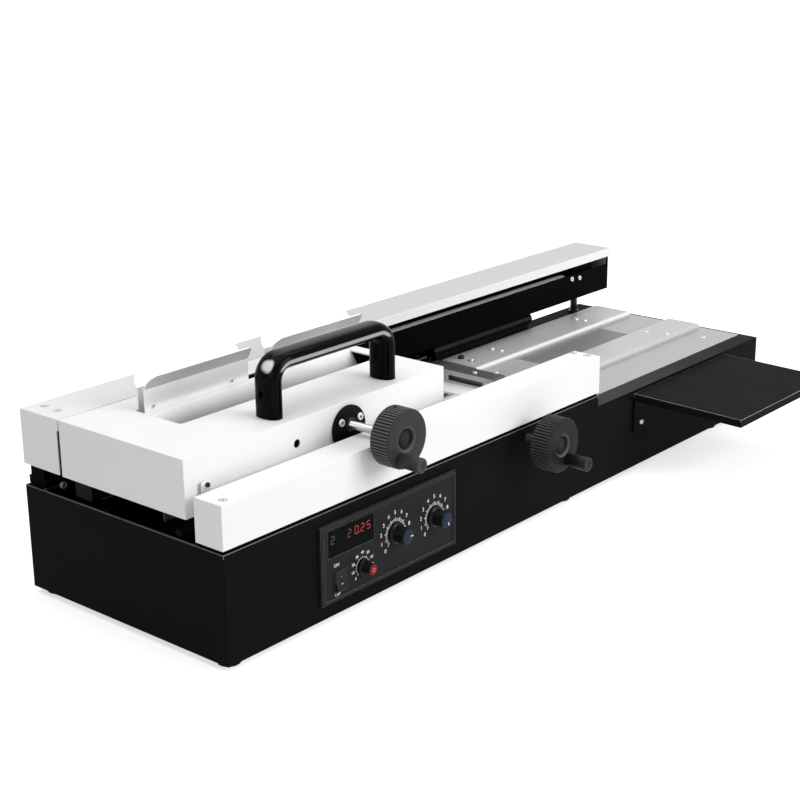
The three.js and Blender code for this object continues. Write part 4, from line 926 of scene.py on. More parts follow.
@dataclass
class FrontBar:
    """The white bar along the front of the machine."""

    top: float = 50.0

    def build(self) -> None:
        """Set the cover's screws."""
        points = [(13.4, 11.3, self.top), (622.6, 33.6, self.top), (624.7, 14.7, self.top)]
        FLUSH.put("bar_screw", "base", Side.TOP, points)

    def dress(self) -> None:
        """Finish the carried-over solids."""
        dress(WHITE_COAT, "front_bar_cover")
        dress(BLACK_PLAIN, "front_bar_support")


@dataclass
class Beam:
    """The rear beam with its channel, guide shaft, bracket, post and the black stop bar."""

    top: float = 84.4
    shaft_y: float = 266.0
    shaft_z: float = 45.0
    wall_y: float = 239.8
    shaft_radius: float = 10.0
    shaft_start: float = 7.0
    shaft_end: float = 977.0
    post: Point = (984.0, 280.3, -13.2)
    post_top: float = 23.7
    sheet_start: float = 470.0
    sheet_end: float = 652.0
    sheet_step: float = 630.0
    sheet_y: float = 284.5

    def build(self) -> None:
        """Make the shaft and the post, and set the screws."""
        r, c = self.shaft_radius, 0.8
        length = self.shaft_end - self.shaft_start
        place = Side.RIGHT.place((self.shaft_start, self.shaft_y, self.shaft_z))
        ground = [(0, 0), (r - c, 0), (r, c), (r, length - c), (r - c, length), (0, length)]
        Shape().turned(ground, place, 64) \
            .piece("ground_guide_shaft", "base", SHAFT_STEEL, replaces=["guide_shaft"])
        rise = self.post_top - self.post[2]
        post = [(0, 0), (8, 0), (8, 2.6), (7.5, 3.0), (5, 3.0), (5, rise - 0.6), (4.4, rise), (0, rise)]
        Shape().turned(post, Side.TOP.place(self.post), 40) \
            .piece("turned_post", "base", BLACK_OXIDE, replaces=["beam_post_right"])
        self._rear_sheet()
        FLUSH.put("beam_screw", "base", Side.TOP, [(21.3, 285.5, self.top), (20.4, 262.9, self.top),
                                                   (952.3, 282.7, self.top), (957.3, 265.2, self.top)])
        BRIGHT_DOME.put("channel_bolt", "base", Side.FRONT,
                        [(918.0, self.wall_y, 55.0), (937.0, self.wall_y, 53.3)])
        BRIGHT_CAP.put("bracket_bolt", "base", Side.FRONT, [(25.6, 271.2, -1.4)])

    def _rear_sheet(self) -> None:
        """Stand a thin black sheet with a bent foot behind the shaft, left of the stop bar."""
        start, end, step, y = self.sheet_start, self.sheet_end, self.sheet_step, self.sheet_y
        upright = [(start, 0.1), (step, 0.1), (step + 2.4, -12.9), (end, -12.9)] \
            + arc((end - 3.0, 20.8), 3.0, 0, 90, 4) + arc((start + 3.0, 20.8), 3.0, 90, 180, 4)
        sheet = Shape().slab(upright, 0.0, 1.5, Side.FRONT.place((0.0, y + 1.5, 0.0)))
        foot = arc((start + 3.0, y - 8.0), 3.0, 180, 270, 4) + arc((step - 3.0, y - 8.0), 3.0, 270, 360, 4) \
            + [(step, y + 0.2), (start, y + 0.2)]
        sheet.slab(foot, 0.1, 1.6, Matrix.Identity(4))
        sheet.piece("rear_sheet", "base", BLACK_PLAIN, round_edges=0.3)
        BLACK_CAP_SMALL.put("rear_sheet_screw", "base", Side.TOP,
                            [(x, y - 5.5, 1.6) for x in (start + 12.0, (start + step) / 2, step - 12.0)])

    def dress(self) -> None:
        """Finish the carried-over solids."""
        dress(BEAM_COAT_SHADED_TOP, "beam_cover")
        dress(BLACK_PLAIN, "beam_channel", "beam_bracket_left", "shaft_support_right")
        dress(BAR_COAT, "cover_stop_bar")
        dress(BLACK_PLAIN, "shaft_support_left")


@dataclass
class Carriage:
    """The sliding carriage with its grip, clamp frame, jaws and guide plates."""

    grip_left: float = 143.0
    grip_right: float = 318.0
    grip_y: float = 77.0
    grip_top: float = 151.5
    grip_bottom: float = 84.7
    grip_thick: float = 19.5
    grip_width: float = 31.5
    grip_bend: float = 19.0
    screw_axis: Point = (231.9, 50.0, 59.3)
    flange_shift: Flat = (-1.5, -3.5)
    flange_radius: float = 24.5

    def build(self) -> None:
        """Make the grip, the screw flange and the small parts on the cover and plates."""
        self._grip()
        self._flange()
        self._latch()
        SMALL_DOME.put("front_guide_screw", "front_jaw", Side.FRONT,
                       [(x, 186.5, 88.6) for x in (83.1, 195.1, 268.0, 362.0)])
        SMALL_DOME.put("rear_guide_screw", "carriage", Side.BACK,
                       [(x, 198.5, 88.6) for x in (83.1, 195.1, 268.0, 362.0)])

    def _grip(self) -> None:
        """Sweep the oval grip up one leg, across and down the other."""
        top = self.grip_top - self.grip_thick / 2
        bend = self.grip_bend
        path = [Vector((self.grip_left, self.grip_y, self.grip_bottom + 9.0 * k)) for k in range(4)]
        for centre, start in ((self.grip_left + bend, 180.0), (self.grip_right - bend, 90.0)):
            for k in range(13):
                a = math.radians(start - 90.0 * k / 12)
                path.append(Vector((centre + bend * math.cos(a), self.grip_y,
                                    top - bend + bend * math.sin(a))))
        path += [Vector((self.grip_right, self.grip_y, self.grip_bottom + 9.0 * k)) for k in (3, 2, 1, 0)]
        section = []
        for k in range(56):
            a = TURN * k / 56
            c, s = math.cos(a), math.sin(a)
            section.append((self.grip_width / 2 * math.copysign(abs(c) ** 0.86, c),
                            self.grip_thick / 2 * math.copysign(abs(s) ** 0.86, s)))
        Shape().swept(path, section, Vector((0.0, 1.0, 0.0))).piece(
            "grip_handle", "carriage", GLOSS_BLACK, sharp=50.0, replaces=["carriage_handle"])

    def _flange(self) -> None:
        """Turn the black flange that carries the clamp screw, with its bolts."""
        x, y, z = self.screw_axis
        r = self.flange_radius
        middle = Side.FRONT.place((x + self.flange_shift[0], y, z + self.flange_shift[1]))
        disc = [(0, 0.3), (r - 0.2, 0.3), (r, 0.6), (r, 3.2), (r - 0.4, 3.8), (r - 1.2, 4.0), (0, 4.0)]
        flange = Shape().turned(disc, middle, 72)
        place = Side.FRONT.place((x, y, z))
        flange.turned([(0, 0.4), (9.9, 0.4), (9.9, -11.9), (0, -11.9)], place, 48)
        flange.piece("screw_flange", "carriage", FLANGE_COAT, replaces=["nut_flange"])
        Shape().turned([(7.6, 3.9), (7.6, 4.5), (7.1, 4.9), (5.4, 4.9), (5.3, 3.9)], place, 48) \
            .piece("flange_collar", "carriage", BLACK_OXIDE)
        FLANGE_DOME.put("flange_bolt", "carriage", Side.FRONT,
                        [(x + dx, y - 4.0, z + dz) for dx, dz in ((-15.0, 5.4), (13.6, 5.4), (-1.5, -20.0))])

    def _latch(self) -> None:
        """Make the small bright plate between the carriage and the front bar, with its screw."""
        place = Side.FRONT.place((24.0, 49.8, 44.0))
        outline = [(-5.5, -3.0), (5.5, -3.0), (5.5, 10.0)] + arc((2.5, 10.0), 3.0, 0, 90, 4) \
            + arc((-2.5, 10.0), 3.0, 90, 180, 4)
        latch = Shape().slab(outline, 2.4, 4.0, place)
        latch.turned([(0, 0.0), (3.6, 0.0), (3.6, 2.5), (0, 2.5)], Side.FRONT.place((26.0, 49.8, 53.0)), 24)
        latch.piece("latch_plate", "carriage", ZINC, round_edges=0.25)
        BLACK_CAP_SMALL.put("latch_screw", "carriage", Side.FRONT, [(26.0, 45.8, 53.0)])

    def dress(self) -> None:
        """Finish the carried-over solids."""
        dress(WHITE_COAT, "carriage_cover")
        # The clamp frame, the bush blocks and the rear jaw are dressed dark as painted shade for the shade
        # under the carriage's cover.
        dress(BLACK_PLAIN, "clamp_frame")
        dress(SATIN_ALUMINIUM, "front_jaw")
        dress(BLACK_PLAIN, "bush_block_left", "bush_block_right")
        dress(GUIDE_SHEET, "front_guide_left", "front_guide_right")
        dress(BRIGHT_GUIDE, "rear_guide_left", "rear_guide_right")
        dress(DARK_PAINT, "rear_jaw", "front_rail")
        dress(TABLE_SHEET, "jogging_plate")


@dataclass
class HandScrew:
    """A screw with its ribbed hand wheel and free-turning crank knob."""

    name: str
    x: float
    z: float
    face: float
    crank_angle: float
    thread_start: float
    thread_end: float
    radius: float = 32.0
    thick: float = 24.0
    ribs: int = 56
    rib_depth: float = 1.4
    mouth: float = 13.5
    dish: float = 9.5
    dish_depth: float = 4.0
    screw_radius: float = 4.5
    thread_radius: float = 5.0
    lead: float = 5.0
    crank_offset: float = 22.0
    crank_root: float = 7.2
    crank_end: float = 8.2
    crank_length: float = 28.5
    set_screw: Optional[float] = None
    # Face colour, darker on the nip wheel as painted shade, and the painted highlight colour of the rib
    # crests.
    face_tone: int = 0x343434
    crest_tone: int = 0x626262
    crank: Finish = CRANK_PLASTIC

    def build(self) -> None:
        """Make the wheel, its hub cap, the crank knob and the screw."""
        self._wheel()
        self._crank()
        self._screw()

    def _wheel(self) -> None:
        """Turn the wheel with its dished hub and ribbed rim."""
        place = Side.FRONT.place((self.x, self.face, self.z))
        r = self.radius
        # Painted shade in the grooves and dish, and painted highlights on the crests and the dish's slope,
        # laid over the face colour.
        wheel_light_paint = RimTone(self.x, self.z, r - self.rib_depth, r, self.dish, self.mouth, srgb(0x040404),
                        srgb(self.crest_tone), srgb(0x626262))
        ribbed_finish = replace(MATT_PLASTIC, name=f"{self.name}_ribbed_plastic", colour=srgb(self.face_tone),
                                edge_colour=srgb(0x6E6E6E), rim=wheel_light_paint)

        def ribbed(angle: float) -> float:
            """Rim radius at an angle, with a narrow crest and a wider groove in each pitch."""
            share = (angle * self.ribs / TURN) % 1.0
            crest = smooth_step((abs(share - 0.5) * 2.0 - 0.36) * 3.6)
            return r - self.rib_depth * (1.0 - crest)
        t, groove = self.thick, r - self.rib_depth
        def bevelled(a: float) -> float:
            """Give the radius at the ribs' bevelled edge."""
            return min(ribbed(a), r - 0.4)

        m, d, low = self.mouth, self.dish, -self.dish_depth
        profile: list[tuple[Radius, float]] = [
            (0, low), (d - 0.3, low), (d, low + 0.15), (m - 0.5, -0.4), (m, -0.08), (m + 0.6, 0.0),
            (groove - 0.9, 0.0), (groove - 0.3, -0.1), (groove, -0.35), (bevelled, -1.1),
            (ribbed, -1.6), (ribbed, 1.6 - t), (bevelled, 1.1 - t), (groove, 0.35 - t),
            (groove - 0.6, -t), (self.screw_radius, -t), (self.screw_radius, 1.0 - t), (0, 1.0 - t)]
        Shape().turned(profile, place, self.ribs * 12).piece(
            f"{self.name}_ribbed_wheel", f"{self.name}_screw", ribbed_finish, sharp=38.0,
            replaces=[f"{self.name}_handwheel"])
        cap = [(0, low + 1.1), (6.8, low + 1.05), (8.0, low + 0.85), (8.5, low + 0.4), (8.6, low - 0.2),
               (0, low - 0.2)]
        Shape().turned(cap, place, 48).piece(f"{self.name}_hub_cap", f"{self.name}_screw", HUB_PLASTIC)
        if self.set_screw is not None:
            SET_SCREW.put(f"{self.name}_set_screw", f"{self.name}_screw", Side.TOP,
                          [(self.x, self.face + self.set_screw, self.z + r - 0.7)])

    def _crank(self) -> None:
        """Turn the crank knob, a little stouter towards its end."""
        a = math.radians(self.crank_angle)
        x, z = self.x + self.crank_offset * math.cos(a), self.z + self.crank_offset * math.sin(a)
        place = Side.FRONT.place((x, self.face, z))
        root, end, far = self.crank_root, self.crank_end, self.crank_length + 0.3
        profile = [(0, far - 1.2), (3.6, far - 1.2), (4.0, far - 0.2), (4.4, far), (end - 1.2, far),
                   (end - 0.35, far - 0.3), (end, far - 0.9), (root + 0.6, far * 0.5), (root + 0.05, 1.2),
                   (root - 0.3, 0.4), (2.7, 0.3), (2.7, -9.0), (0, -9.0)]
        Shape().turned(profile, place, 48).piece(
            f"{self.name}_crank_grip", f"{self.name}_crank", self.crank, replaces=[f"{self.name}_crank_knob"])

    def _screw(self) -> None:
        """Make the plain shank and the helical thread behind it."""
        start = -(self.face + self.dish_depth + 4.3)
        sides = 36
        shank, root, crest = self.screw_radius, self.thread_radius - 0.75, self.thread_radius

        def thread(height: float) -> Callable[[float], float]:
            """Thread radius round the screw at one distance along it."""
            def at_angle(angle: float) -> float:
                share = (height / self.lead + angle / TURN) % 1.0
                wave = abs(share - 0.5) * 2.0
                return root + (crest - root) * smooth_step((wave - 0.25) * 2.6)
            return at_angle
        profile: list[tuple[Radius, float]] = [(0, start), (shank, start), (shank, -self.thread_start)]
        steps = int((self.thread_end - self.thread_start) / 0.5)
        for k in range(steps + 1):
            y = self.thread_start + 0.4 + (self.thread_end - self.thread_start - 0.8) * k / steps
            profile.append((thread(y), -y))
        profile += [(root, -self.thread_end), (0, -self.thread_end)]
        Shape().turned(profile, Side.FRONT.place((self.x, 0.0, self.z)), sides).piece(
            f"{self.name}_lead_screw", f"{self.name}_screw", GROUND_STEEL, sharp=60.0,
            replaces=[f"{self.name}_screw"])


@dataclass
class NipStation:
    """The table with the platen, the two nip plates and the slotted bracket."""

    nip_top: float = -5.5
    table_top: float = -13.5

    def build(self) -> None:
        """Set the screws and bolts."""
        z = self.nip_top
        BRIGHT_DOME.put("rear_nip_screw", "base", Side.TOP,
                        [(726.1, 236.5, z), (727.3, 221.4, z), (926.5, 236.1, z), (926.6, 221.4, z)])
        BLACK_CAP.put("rear_nip_cap", "base", Side.TOP, [(666.0, 242.0, z)])
        BRIGHT_DOME.put("rear_nip_corner_screw", "base", Side.TOP, [(667.0, 225.4, z)])
        # A dark ring round the corner screw, as painted shade.
        Shape().turned([(3.3, 0.0), (5.0, 0.0), (4.8, 0.15), (3.3, 0.15)],
                       Side.TOP.place((667.0, 225.4, z)), 40) \
            .piece("rear_nip_corner_ring", "base", DRIVE_SHADOW)
        BRIGHT_DOME.put("station_bolt", "base", Side.TOP, [(624.4, 187.0, z), (641.6, 165.6, z)])
        pairs = [(731.0, 121.0, z), (739.0, 92.5, z), (931.0, 121.0, z), (939.0, 92.5, z)]
        LOW_DOME.put("front_nip_screw", "front_nip", Side.TOP, pairs)
        LOW_DOME.put("table_screw", "base", Side.TOP,
                         [(980.0, 58.0, self.table_top), (660.0, 58.0, self.table_top)])

    def dress(self) -> None:
        """Finish the carried-over solids."""
        dress(TABLE_SHEET, "table_plate")
        dress(PLATEN_GREY, "platen")
        dress(NIP_SHEET, "front_nip_plate")
        dress(REAR_NIP_SHEET, "rear_nip_plate")
        dress(BRACKET_GREY, "station_bracket")


@dataclass
class GlueUnit:
    """The trough with its roller, and the milling cutter before it."""

    roller: Point = (520.0, 202.0, -24.0)
    roller_radius: float = 23.5
    roller_half: float = 46.3
    shaft_radius: float = 5.0
    shaft_front: float = 56.0
    shaft_back: float = 61.0
    shelf_start: float = 583.6
    shelf_end: float = 614.4
    shelf_front: float = 152.0
    shelf_back: float = 252.0
    shelf_z: float = -22.8
    liner: Point = (620.0, 194.0, -15.4)

    def build(self) -> None:
        """Turn the roller on its shaft."""
        r, w, s = self.roller_radius, self.roller_half, self.shaft_radius
        place = Side.BACK.place(self.roller)
        self._shelf()
        front, back = self.shaft_front, self.shaft_back
        profile = [(0, -front), (s - 0.5, -front), (s, 0.5 - front), (s, -w), (r - 0.8, -w), (r, 0.8 - w),
                   (r, w - 0.8), (r - 0.8, w), (s, w), (s, back - 0.5), (s - 0.5, back), (0, back)]
        Shape().turned(profile, place, 96).piece("steel_glue_roller", "glue_roller", GROUND_STEEL,
                                                 replaces=["glue_roller"])

    def _shelf(self) -> None:
        """Lay the pale sheet between the trough and the station, with the plate behind the bracket's slot."""
        width, depth = self.shelf_end - self.shelf_start, self.shelf_back - self.shelf_front
        middle = ((self.shelf_start + self.shelf_end) / 2, (self.shelf_front + self.shelf_back) / 2,
                  self.shelf_z)
        Shape().slab(rounded(width, depth, 2.0), 0.0, 1.2, Side.TOP.place(middle)) \
            .piece("trough_shelf_sheet", "base", TANK_COAT, round_edges=0.2)
        BLACK_CAP_SMALL.put("shelf_screw", "base", Side.TOP,
                            [(middle[0], y, self.shelf_z + 1.2)
                             for y in (self.shelf_front + 8.0, self.shelf_back - 8.0)])
        x, y, z = self.liner
        liner = Shape().slab(rounded(66.0, 11.0, 1.5), 0.0, 0.8, Side.LEFT.place((x, y, z)))
        liner.slab(rounded(60.0, 1.6, 0.6), 0.8, 1.3, Side.LEFT.place((x, y, z + 1.2)))
        liner.piece("slot_liner", "base", PLATEN_GREY, round_edges=0.15)

    def dress(self) -> None:
        """Finish the carried-over solids."""
        dress(TANK_COAT, "glue_tank")
        dress(GROUND_STEEL, "milling_cutter")


@dataclass
class Dial:
    """A knob with its cap and pointer, and the printed scale round it."""

    name: str
    x: float
    z: float
    radius: float
    length: float
    cap: Finish
    pointer_angle: float
    numbers: Sequence[str]
    number_size: float
    scale_radius: float
    minor_ticks: int
    tick_reach: float
    ring_mark: bool = False

    def build(self, field_y: float) -> None:
        """Make the knob and print its scale on the panel's field.

        Args:
            field_y: the place of the panel's sunk field.
        """
        back = field_y - 0.3
        r, slim, skirt = self.radius, self.radius * 0.74, 3.0
        place = Side.FRONT.place((self.x, back, self.z))

        def fluted(base: float) -> Callable[[float], float]:
            """Knob radius at an angle, with fine flutes of a quarter millimetre."""
            return lambda a: base - 0.24 * (0.5 + 0.5 * math.cos(a * 24))
        end = self.length
        profile: list[tuple[Radius, float]] = [
            (0, end - 0.6), (slim - 1.2, end - 0.6), (slim - 0.8, end - 0.3), (slim - 0.5, end - 0.5),
            (fluted(slim), end - 1.4), (fluted(slim + 0.35), skirt + 1.4), (slim + 0.6, skirt + 0.7),
            (r - 0.8, skirt), (r - 0.1, skirt - 0.7), (r, 0.4), (r - 0.3, 0.0), (3.0, 0.0),
            (3.0, -8.0), (0, -8.0)]
        Shape().turned(profile, place, 96).piece(f"{self.name}_body", self.name, KNOB_PLASTIC, sharp=40.0,
                                                 replaces=[self.name])
        cap = [(0, end + 0.3), (slim * 0.6, end + 0.25), (slim - 1.0, end), (slim - 0.75, end - 0.5),
               (0, end - 0.5)]
        Shape().turned(cap, place, 48).piece(f"{self.name}_cap", self.name, self.cap)
        mark = Side.FRONT.place((self.x, back - end, self.z), self.pointer_angle)
        width = slim - 1.6
        if not self.ring_mark:
            inner, half = width * 0.42, 0.5
            Shape().slab([(inner, -half), (width, -half), (width, half), (inner, half)], 0.1, 0.48, mark) \
                .piece(f"{self.name}_pointer", self.name, WHITE_INK)
        if self.ring_mark:
            Shape().turned([(1.7, 0.3), (2.3, 0.3), (2.3, 0.5), (1.7, 0.5)],
                           Side.FRONT.place((self.x, back - end, self.z)), 32) \
                .piece(f"{self.name}_ring_mark", self.name, PINK_INK)
        self._scale(field_y)

    def _scale(self, field_y: float) -> None:
        """Print the ring, the ticks and the numbers over three quarters of a turn."""
        scale = Shape()
        intervals = len(self.numbers) - 1
        total = intervals * self.minor_ticks
        inner = self.radius + 0.8
        scale.slab(arc((0.0, 0.0), inner + 0.45, 225.0, -45.0, 60) + arc((0.0, 0.0), inner, -45.0, 225.0, 60),
                   0.0, 0.06, Side.FRONT.place((self.x, field_y, self.z)))
        for k in range(total + 1):
            angle = 225.0 - 270.0 * k / total
            major = k % self.minor_ticks == 0
            reach, half = (self.tick_reach, 0.38) if major else (self.tick_reach * 0.7, 0.2)
            tick = [(inner, -half), (inner + reach, -half), (inner + reach, half), (inner, half)]
            scale.slab(tick, 0.0, 0.06, Side.FRONT.place((self.x, field_y, self.z), angle))
        for k, word in enumerate(self.numbers):
            angle = math.radians(225.0 - 270.0 * k / intervals)
            x, z = self.x + self.scale_radius * math.cos(angle), self.z + self.scale_radius * math.sin(angle)
            scale.text(word, self.number_size, Side.FRONT.place((x, field_y - 0.05, z)))
        scale.piece(f"{self.name}_scale", "base", WHITE_INK)


@dataclass
class ControlPanel:
    """The panel on the front wall with its display, rocker and dials."""

    field_y: float = -3.5
    window_y: float = -3.2
    digit_height: float = 8.2
    digit_width: float = 4.8
    digit_z: float = -31.5
    rocker: Flat = (157.0, -78.7)
    segments: dict[str, str] = field(default_factory=lambda: {
        "0": "abcdef", "2": "abged", "5": "afgcd"})

    def build(self) -> None:
        """Light the display, print the panel and make the dials."""
        self._digits("dim_digit", "22", [146.8, 172.0], DIM_GLOW)
        self._digits("lit_digit", "025", [183.1, 192.3, 201.5], RED_GLOW, point_after=0)
        x, z = self.rocker
        words = Shape()
        words.text("ON", 5.2, Side.FRONT.place((x - 5.6, self.field_y - 0.05, z + 18.4)), bold=0.04)
        words.text("OFF", 4.8, Side.FRONT.place((x - 4.6, self.field_y - 0.05, z - 14.4)), bold=0.04)
        words.piece("switch_words", "base", WHITE_INK)
        self._rocker()
        tens = [str(n) for n in range(11)]
        for knob, across, up, blue, pointer in (("dial_knob_left", 243.5, -54.2, BLUE_CAP, -4.0),
                                                ("dial_knob_right", 308.5, -56.0, BRIGHT_BLUE_CAP, -68.0)):
            Dial(knob, across, up, 12.0, 18.0, blue, pointer, tens, 6.2, 23.0, 5, 4.6).build(self.field_y)
        steps = [str(n) for n in range(0, 90, 10)]
        Dial("heat_knob", 191.0, -74.6, 8.5, 15.0, RED_CAP, 55.0, steps, 4.5, 15.4, 2, 2.2, ring_mark=True) \
            .build(self.field_y)

    def _digits(self, name: str, digits: str, centres: Sequence[float], finish: Finish,
                point_after: int = -1) -> None:
        """Lay lit segments on the window.

        Args:
            name: the piece's name.
            digits: the figures to show.
            centres: the middle of each figure along X.
            finish: the segments' finish.
            point_after: the figure that a point follows, if any.
        """
        w, h, bar = self.digit_width / 2, self.digit_height / 2, 0.5
        strokes = {"a": (0, h, 1), "g": (0, 0, 1), "d": (0, -h, 1), "b": (w, h / 2, 0), "c": (w, -h / 2, 0),
                   "e": (-w, -h / 2, 0), "f": (-w, h / 2, 0)}
        lit = Shape()
        for k, (digit, x) in enumerate(zip(digits, centres)):
            slant = Matrix.Shear("XY", 4, (0.1, 0.0)).to_4x4()
            place = Side.FRONT.place((x, self.window_y, self.digit_z)) @ slant
            for stroke in self.segments[digit]:
                u, v, flat = strokes[stroke]
                gap, tip = 0.55, 0.45
                long, wide = (w - gap, bar) if flat else (bar, h / 2 - gap)
                if flat:
                    outline = [(u - long - tip, v), (u - long, v - wide), (u + long, v - wide),
                               (u + long + tip, v), (u + long, v + wide), (u - long, v + wide)]
                else:
                    outline = [(u, v - wide - tip), (u + long, v - wide), (u + long, v + wide),
                               (u, v + wide + tip), (u - long, v + wide), (u - long, v - wide)]
                lit.slab(outline, 0.0, 0.06, place)
            if k == point_after:
                lit.slab(rounded(1.1, 1.1, 0.5), 0.0, 0.06,
                         Side.FRONT.place((x + 4.4, self.window_y, self.digit_z - h)))
        lit.piece(name, "base", finish)

    def _rocker(self) -> None:
        """Frame the rocker and mark its two ends."""
        x, z = self.rocker
        rim = Shape()
        for u0, u1, v0, v1 in ((-10.0, 10.0, 11.1, 12.2), (-10.0, 10.0, -12.2, -11.1),
                               (-10.0, -9.1, -11.1, 11.1), (9.1, 10.0, -11.1, 11.1)):
            rim.box((x + u0, self.field_y - 1.3, z + v0), (x + u1, self.field_y + 0.6, z + v1))
        rim.piece("rocker_frame", "base", ROCKER_BLACK, round_edges=0.35)
        rest_tilt = math.radians(-8.0)
        tilt = Matrix.Translation(Vector((x, -1.0, z))) @ Matrix.Rotation(rest_tilt, 4, "X") \
            @ Matrix.Translation(Vector((-x, 1.0, -z)))
        marks = Shape()
        marks.turned([(1.5, 0.0), (2.0, 0.0), (2.0, 0.1), (1.5, 0.1)],
                     tilt @ Side.FRONT.place((x, -5.55, z - 5.2)), 32)
        marks.slab([(-0.25, -2.0), (0.25, -2.0), (0.25, 2.0), (-0.25, 2.0)], 0.0, 0.1,
                   tilt @ Side.FRONT.place((x, -5.55, z + 5.4)))
        marks.piece("rocker_marks", "power_rocker", WHITE_INK)

    def dress(self) -> None:
        """Finish the carried-over solids."""
        dress(PANEL_FACE, "control_panel")
        dress(DARK_WINDOW, "display_window")
        dress(ROCKER_BLACK, "power_rocker")


@dataclass
class Leaf:
    """The black leaf that carries the cover sheet."""

    bolt_z: float = -58.4
    wall_y: float = -2.3

    def build(self) -> None:
        """Set the bolts of its apron."""
        points = [(x, self.wall_y, self.bolt_z) for x in (726.5, 925.5)]
        BRIGHT_DOME.put("leaf_bolt", "base", Side.FRONT, points)

    def dress(self) -> None:
        """Finish the carried-over solid."""
        dress(LEAF_COAT, "front_leaf")


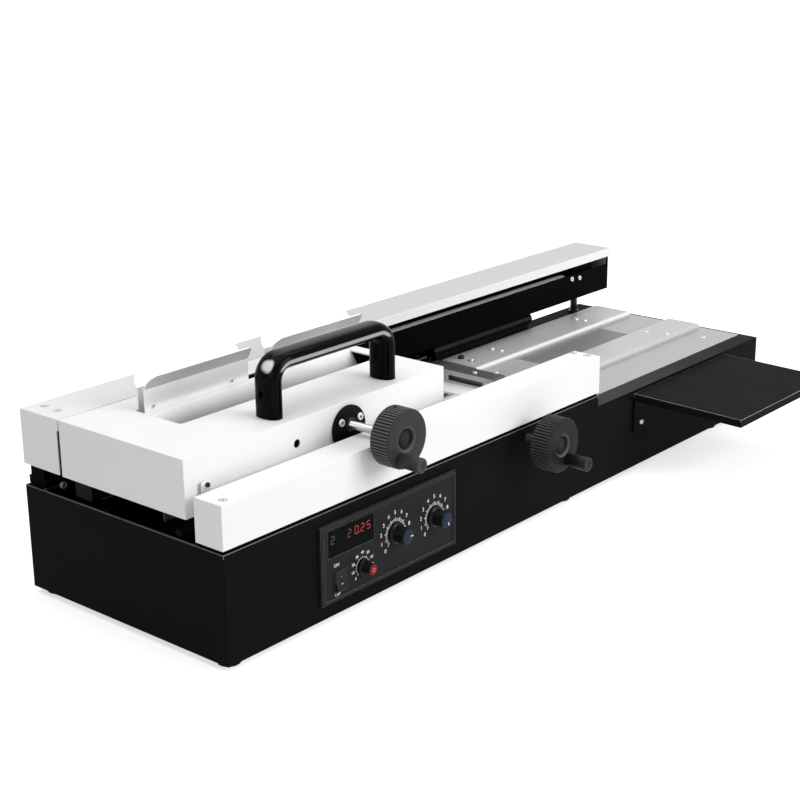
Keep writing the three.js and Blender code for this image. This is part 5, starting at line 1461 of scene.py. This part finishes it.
@dataclass
class Studio:
    """The pale floor, the soft lights and the camera."""

    camera_place: Point = (-945.49, -1030.49, 603.07)
    right: Point = (0.64822, -0.76140, -0.00961)
    up: Point = (0.24103, 0.19319, 0.95109)
    back: Point = (-0.72230, -0.61883, 0.30875)
    focal_pixels: float = 1605.77
    picture_pixels: float = 800.0
    sensor: float = 36.0

    def build(self) -> None:
        """Set up the floor, the lights, the world and the camera."""
        self._floor()
        self._lights()
        self._camera()

    @staticmethod
    def _shown(wiring: Wiring) -> bpy.types.NodeSocket:
        """Tell whether a ray looks at the background, straight, by reflection or through glass."""
        rays = wiring.add("ShaderNodeLightPath")
        mirrored = wiring.maths("MAXIMUM", rays.outputs["Is Camera Ray"], rays.outputs["Is Glossy Ray"])
        return wiring.maths("MAXIMUM", mirrored, rays.outputs["Is Transmission Ray"])

    def _floor(self) -> None:
        """Lay a wide white floor that shows white and keeps a soft shadow."""
        z = at(0.0, 0.0, ORIGIN.z).z
        reach = 40.0
        mesh = bpy.data.meshes.new("studio_floor")
        mesh.from_pydata([(-reach, -reach, z), (reach, -reach, z), (reach, reach, z), (-reach, reach, z)], [],
                         [(0, 1, 2, 3)])
        floor = bpy.data.objects.new("studio_floor", mesh)
        bpy.context.scene.collection.objects.link(floor)
        material = bpy.data.materials.new("studio_floor")
        material.use_nodes = True
        wiring = Wiring(material.node_tree)
        shader = material.node_tree.nodes["Principled BSDF"]
        shader.inputs["Base Color"].default_value = (0.8, 0.8, 0.8, 1.0)
        shader.inputs["Roughness"].default_value = 0.9
        shader.inputs["Specular IOR Level"].default_value = 0.0
        seen = self._shown(wiring)
        spot = wiring.add("ShaderNodeTexCoord").outputs["Object"]
        away = wiring.add("ShaderNodeVectorMath", {0: spot}, operation="LENGTH")
        level = wiring.add("ShaderNodeMapRange", {"Value": away.outputs["Value"], "From Min": 0.9,
                                                  "From Max": 3.0, "To Min": 0.62, "To Max": 1.0})
        strength = wiring.maths("MULTIPLY", seen, level.outputs[0])
        glow = wiring.add("ShaderNodeEmission", {"Color": (1.0, 1.0, 1.0, 1.0), "Strength": strength})
        both = wiring.add("ShaderNodeAddShader", {0: shader.outputs[0], 1: glow.outputs[0]})
        sink = material.node_tree.nodes["Material Output"]
        wiring.tree.links.new(both.outputs[0], sink.inputs["Surface"])
        mesh.materials.append(material)

    def _lights(self) -> None:
        """Hang a large soft light overhead and a fill to the front right, in a bright room."""
        for name, place, size, power in (("overhead_soft", (-0.05, 0.1, 2.6), 3.2, 57.5),
                                         ("front_fill", (1.0, -2.75, 1.5), 2.0, 73.0),
                                         ("left_fill", (-3.0, -0.4, 1.2), 1.6, 11.5)):
            lamp = bpy.data.lights.new(name, "AREA")
            lamp.shape = "SQUARE"
            lamp.size = size
            lamp.energy = power
            holder = bpy.data.objects.new(name, lamp)
            holder.location = place
            aim = Vector((0.0, 0.0, 0.12)) - Vector(place)
            holder.rotation_euler = aim.to_track_quat("-Z", "Y").to_euler()
            bpy.context.scene.collection.objects.link(holder)
        world = bpy.data.worlds.new("white_room")
        bpy.context.scene.world = world
        world.use_nodes = True
        wiring = Wiring(world.node_tree)
        plain = world.node_tree.nodes["Background"]
        plain.inputs["Color"].default_value = (1.0, 1.0, 1.0, 1.0)
        plain.inputs["Strength"].default_value = 0.2
        white = wiring.add("ShaderNodeBackground", {"Color": (1.0, 1.0, 1.0, 1.0), "Strength": 1.0})
        mix = wiring.add("ShaderNodeMixShader", {0: self._shown(wiring), 1: plain.outputs[0],
                                                 2: white.outputs[0]})
        wiring.tree.links.new(mix.outputs[0], world.node_tree.nodes["World Output"].inputs["Surface"])

    def _camera(self) -> None:
        """Stand the camera where the photograph was taken from."""
        lens = bpy.data.cameras.new("photo_camera")
        lens.sensor_width = self.sensor
        lens.sensor_fit = "HORIZONTAL"
        lens.lens = self.focal_pixels * self.sensor / self.picture_pixels
        lens.clip_end = 200.0
        camera = bpy.data.objects.new("photo_camera", lens)
        basis = Matrix((self.right, self.up, self.back)).transposed().to_4x4()
        camera.matrix_world = Matrix.Translation(at(*self.camera_place)) @ basis
        bpy.context.scene.collection.objects.link(camera)
        bpy.context.scene.camera = camera
        bpy.context.scene.view_settings.view_transform = "Standard"


def main() -> None:
    """Build and dress the machine."""
    logging.basicConfig(level=logging.INFO, format="%(message)s")
    Studio().build()
    parts = [Base(), FrontBar(), Beam(), Carriage(), NipStation(), GlueUnit(), ControlPanel(), Leaf()]
    for part in parts:
        log.info("building %s", type(part).__name__)
        part.dress()
        part.build()
    HandScrew("clamp", 231.9, 59.3, -31.0, -119.6, 62.0, 172.0, set_screw=15.6).build()
    # The nip wheel and its crank get darker tones as painted shade.
    HandScrew("nip", 483.5, -13.0, -50.0, -62.0, 40.0, 149.0, face_tone=0x1A1A1A, crest_tone=0x424242,
              crank=SHADED_CRANK).build()


if __name__ == "__main__":
    main()
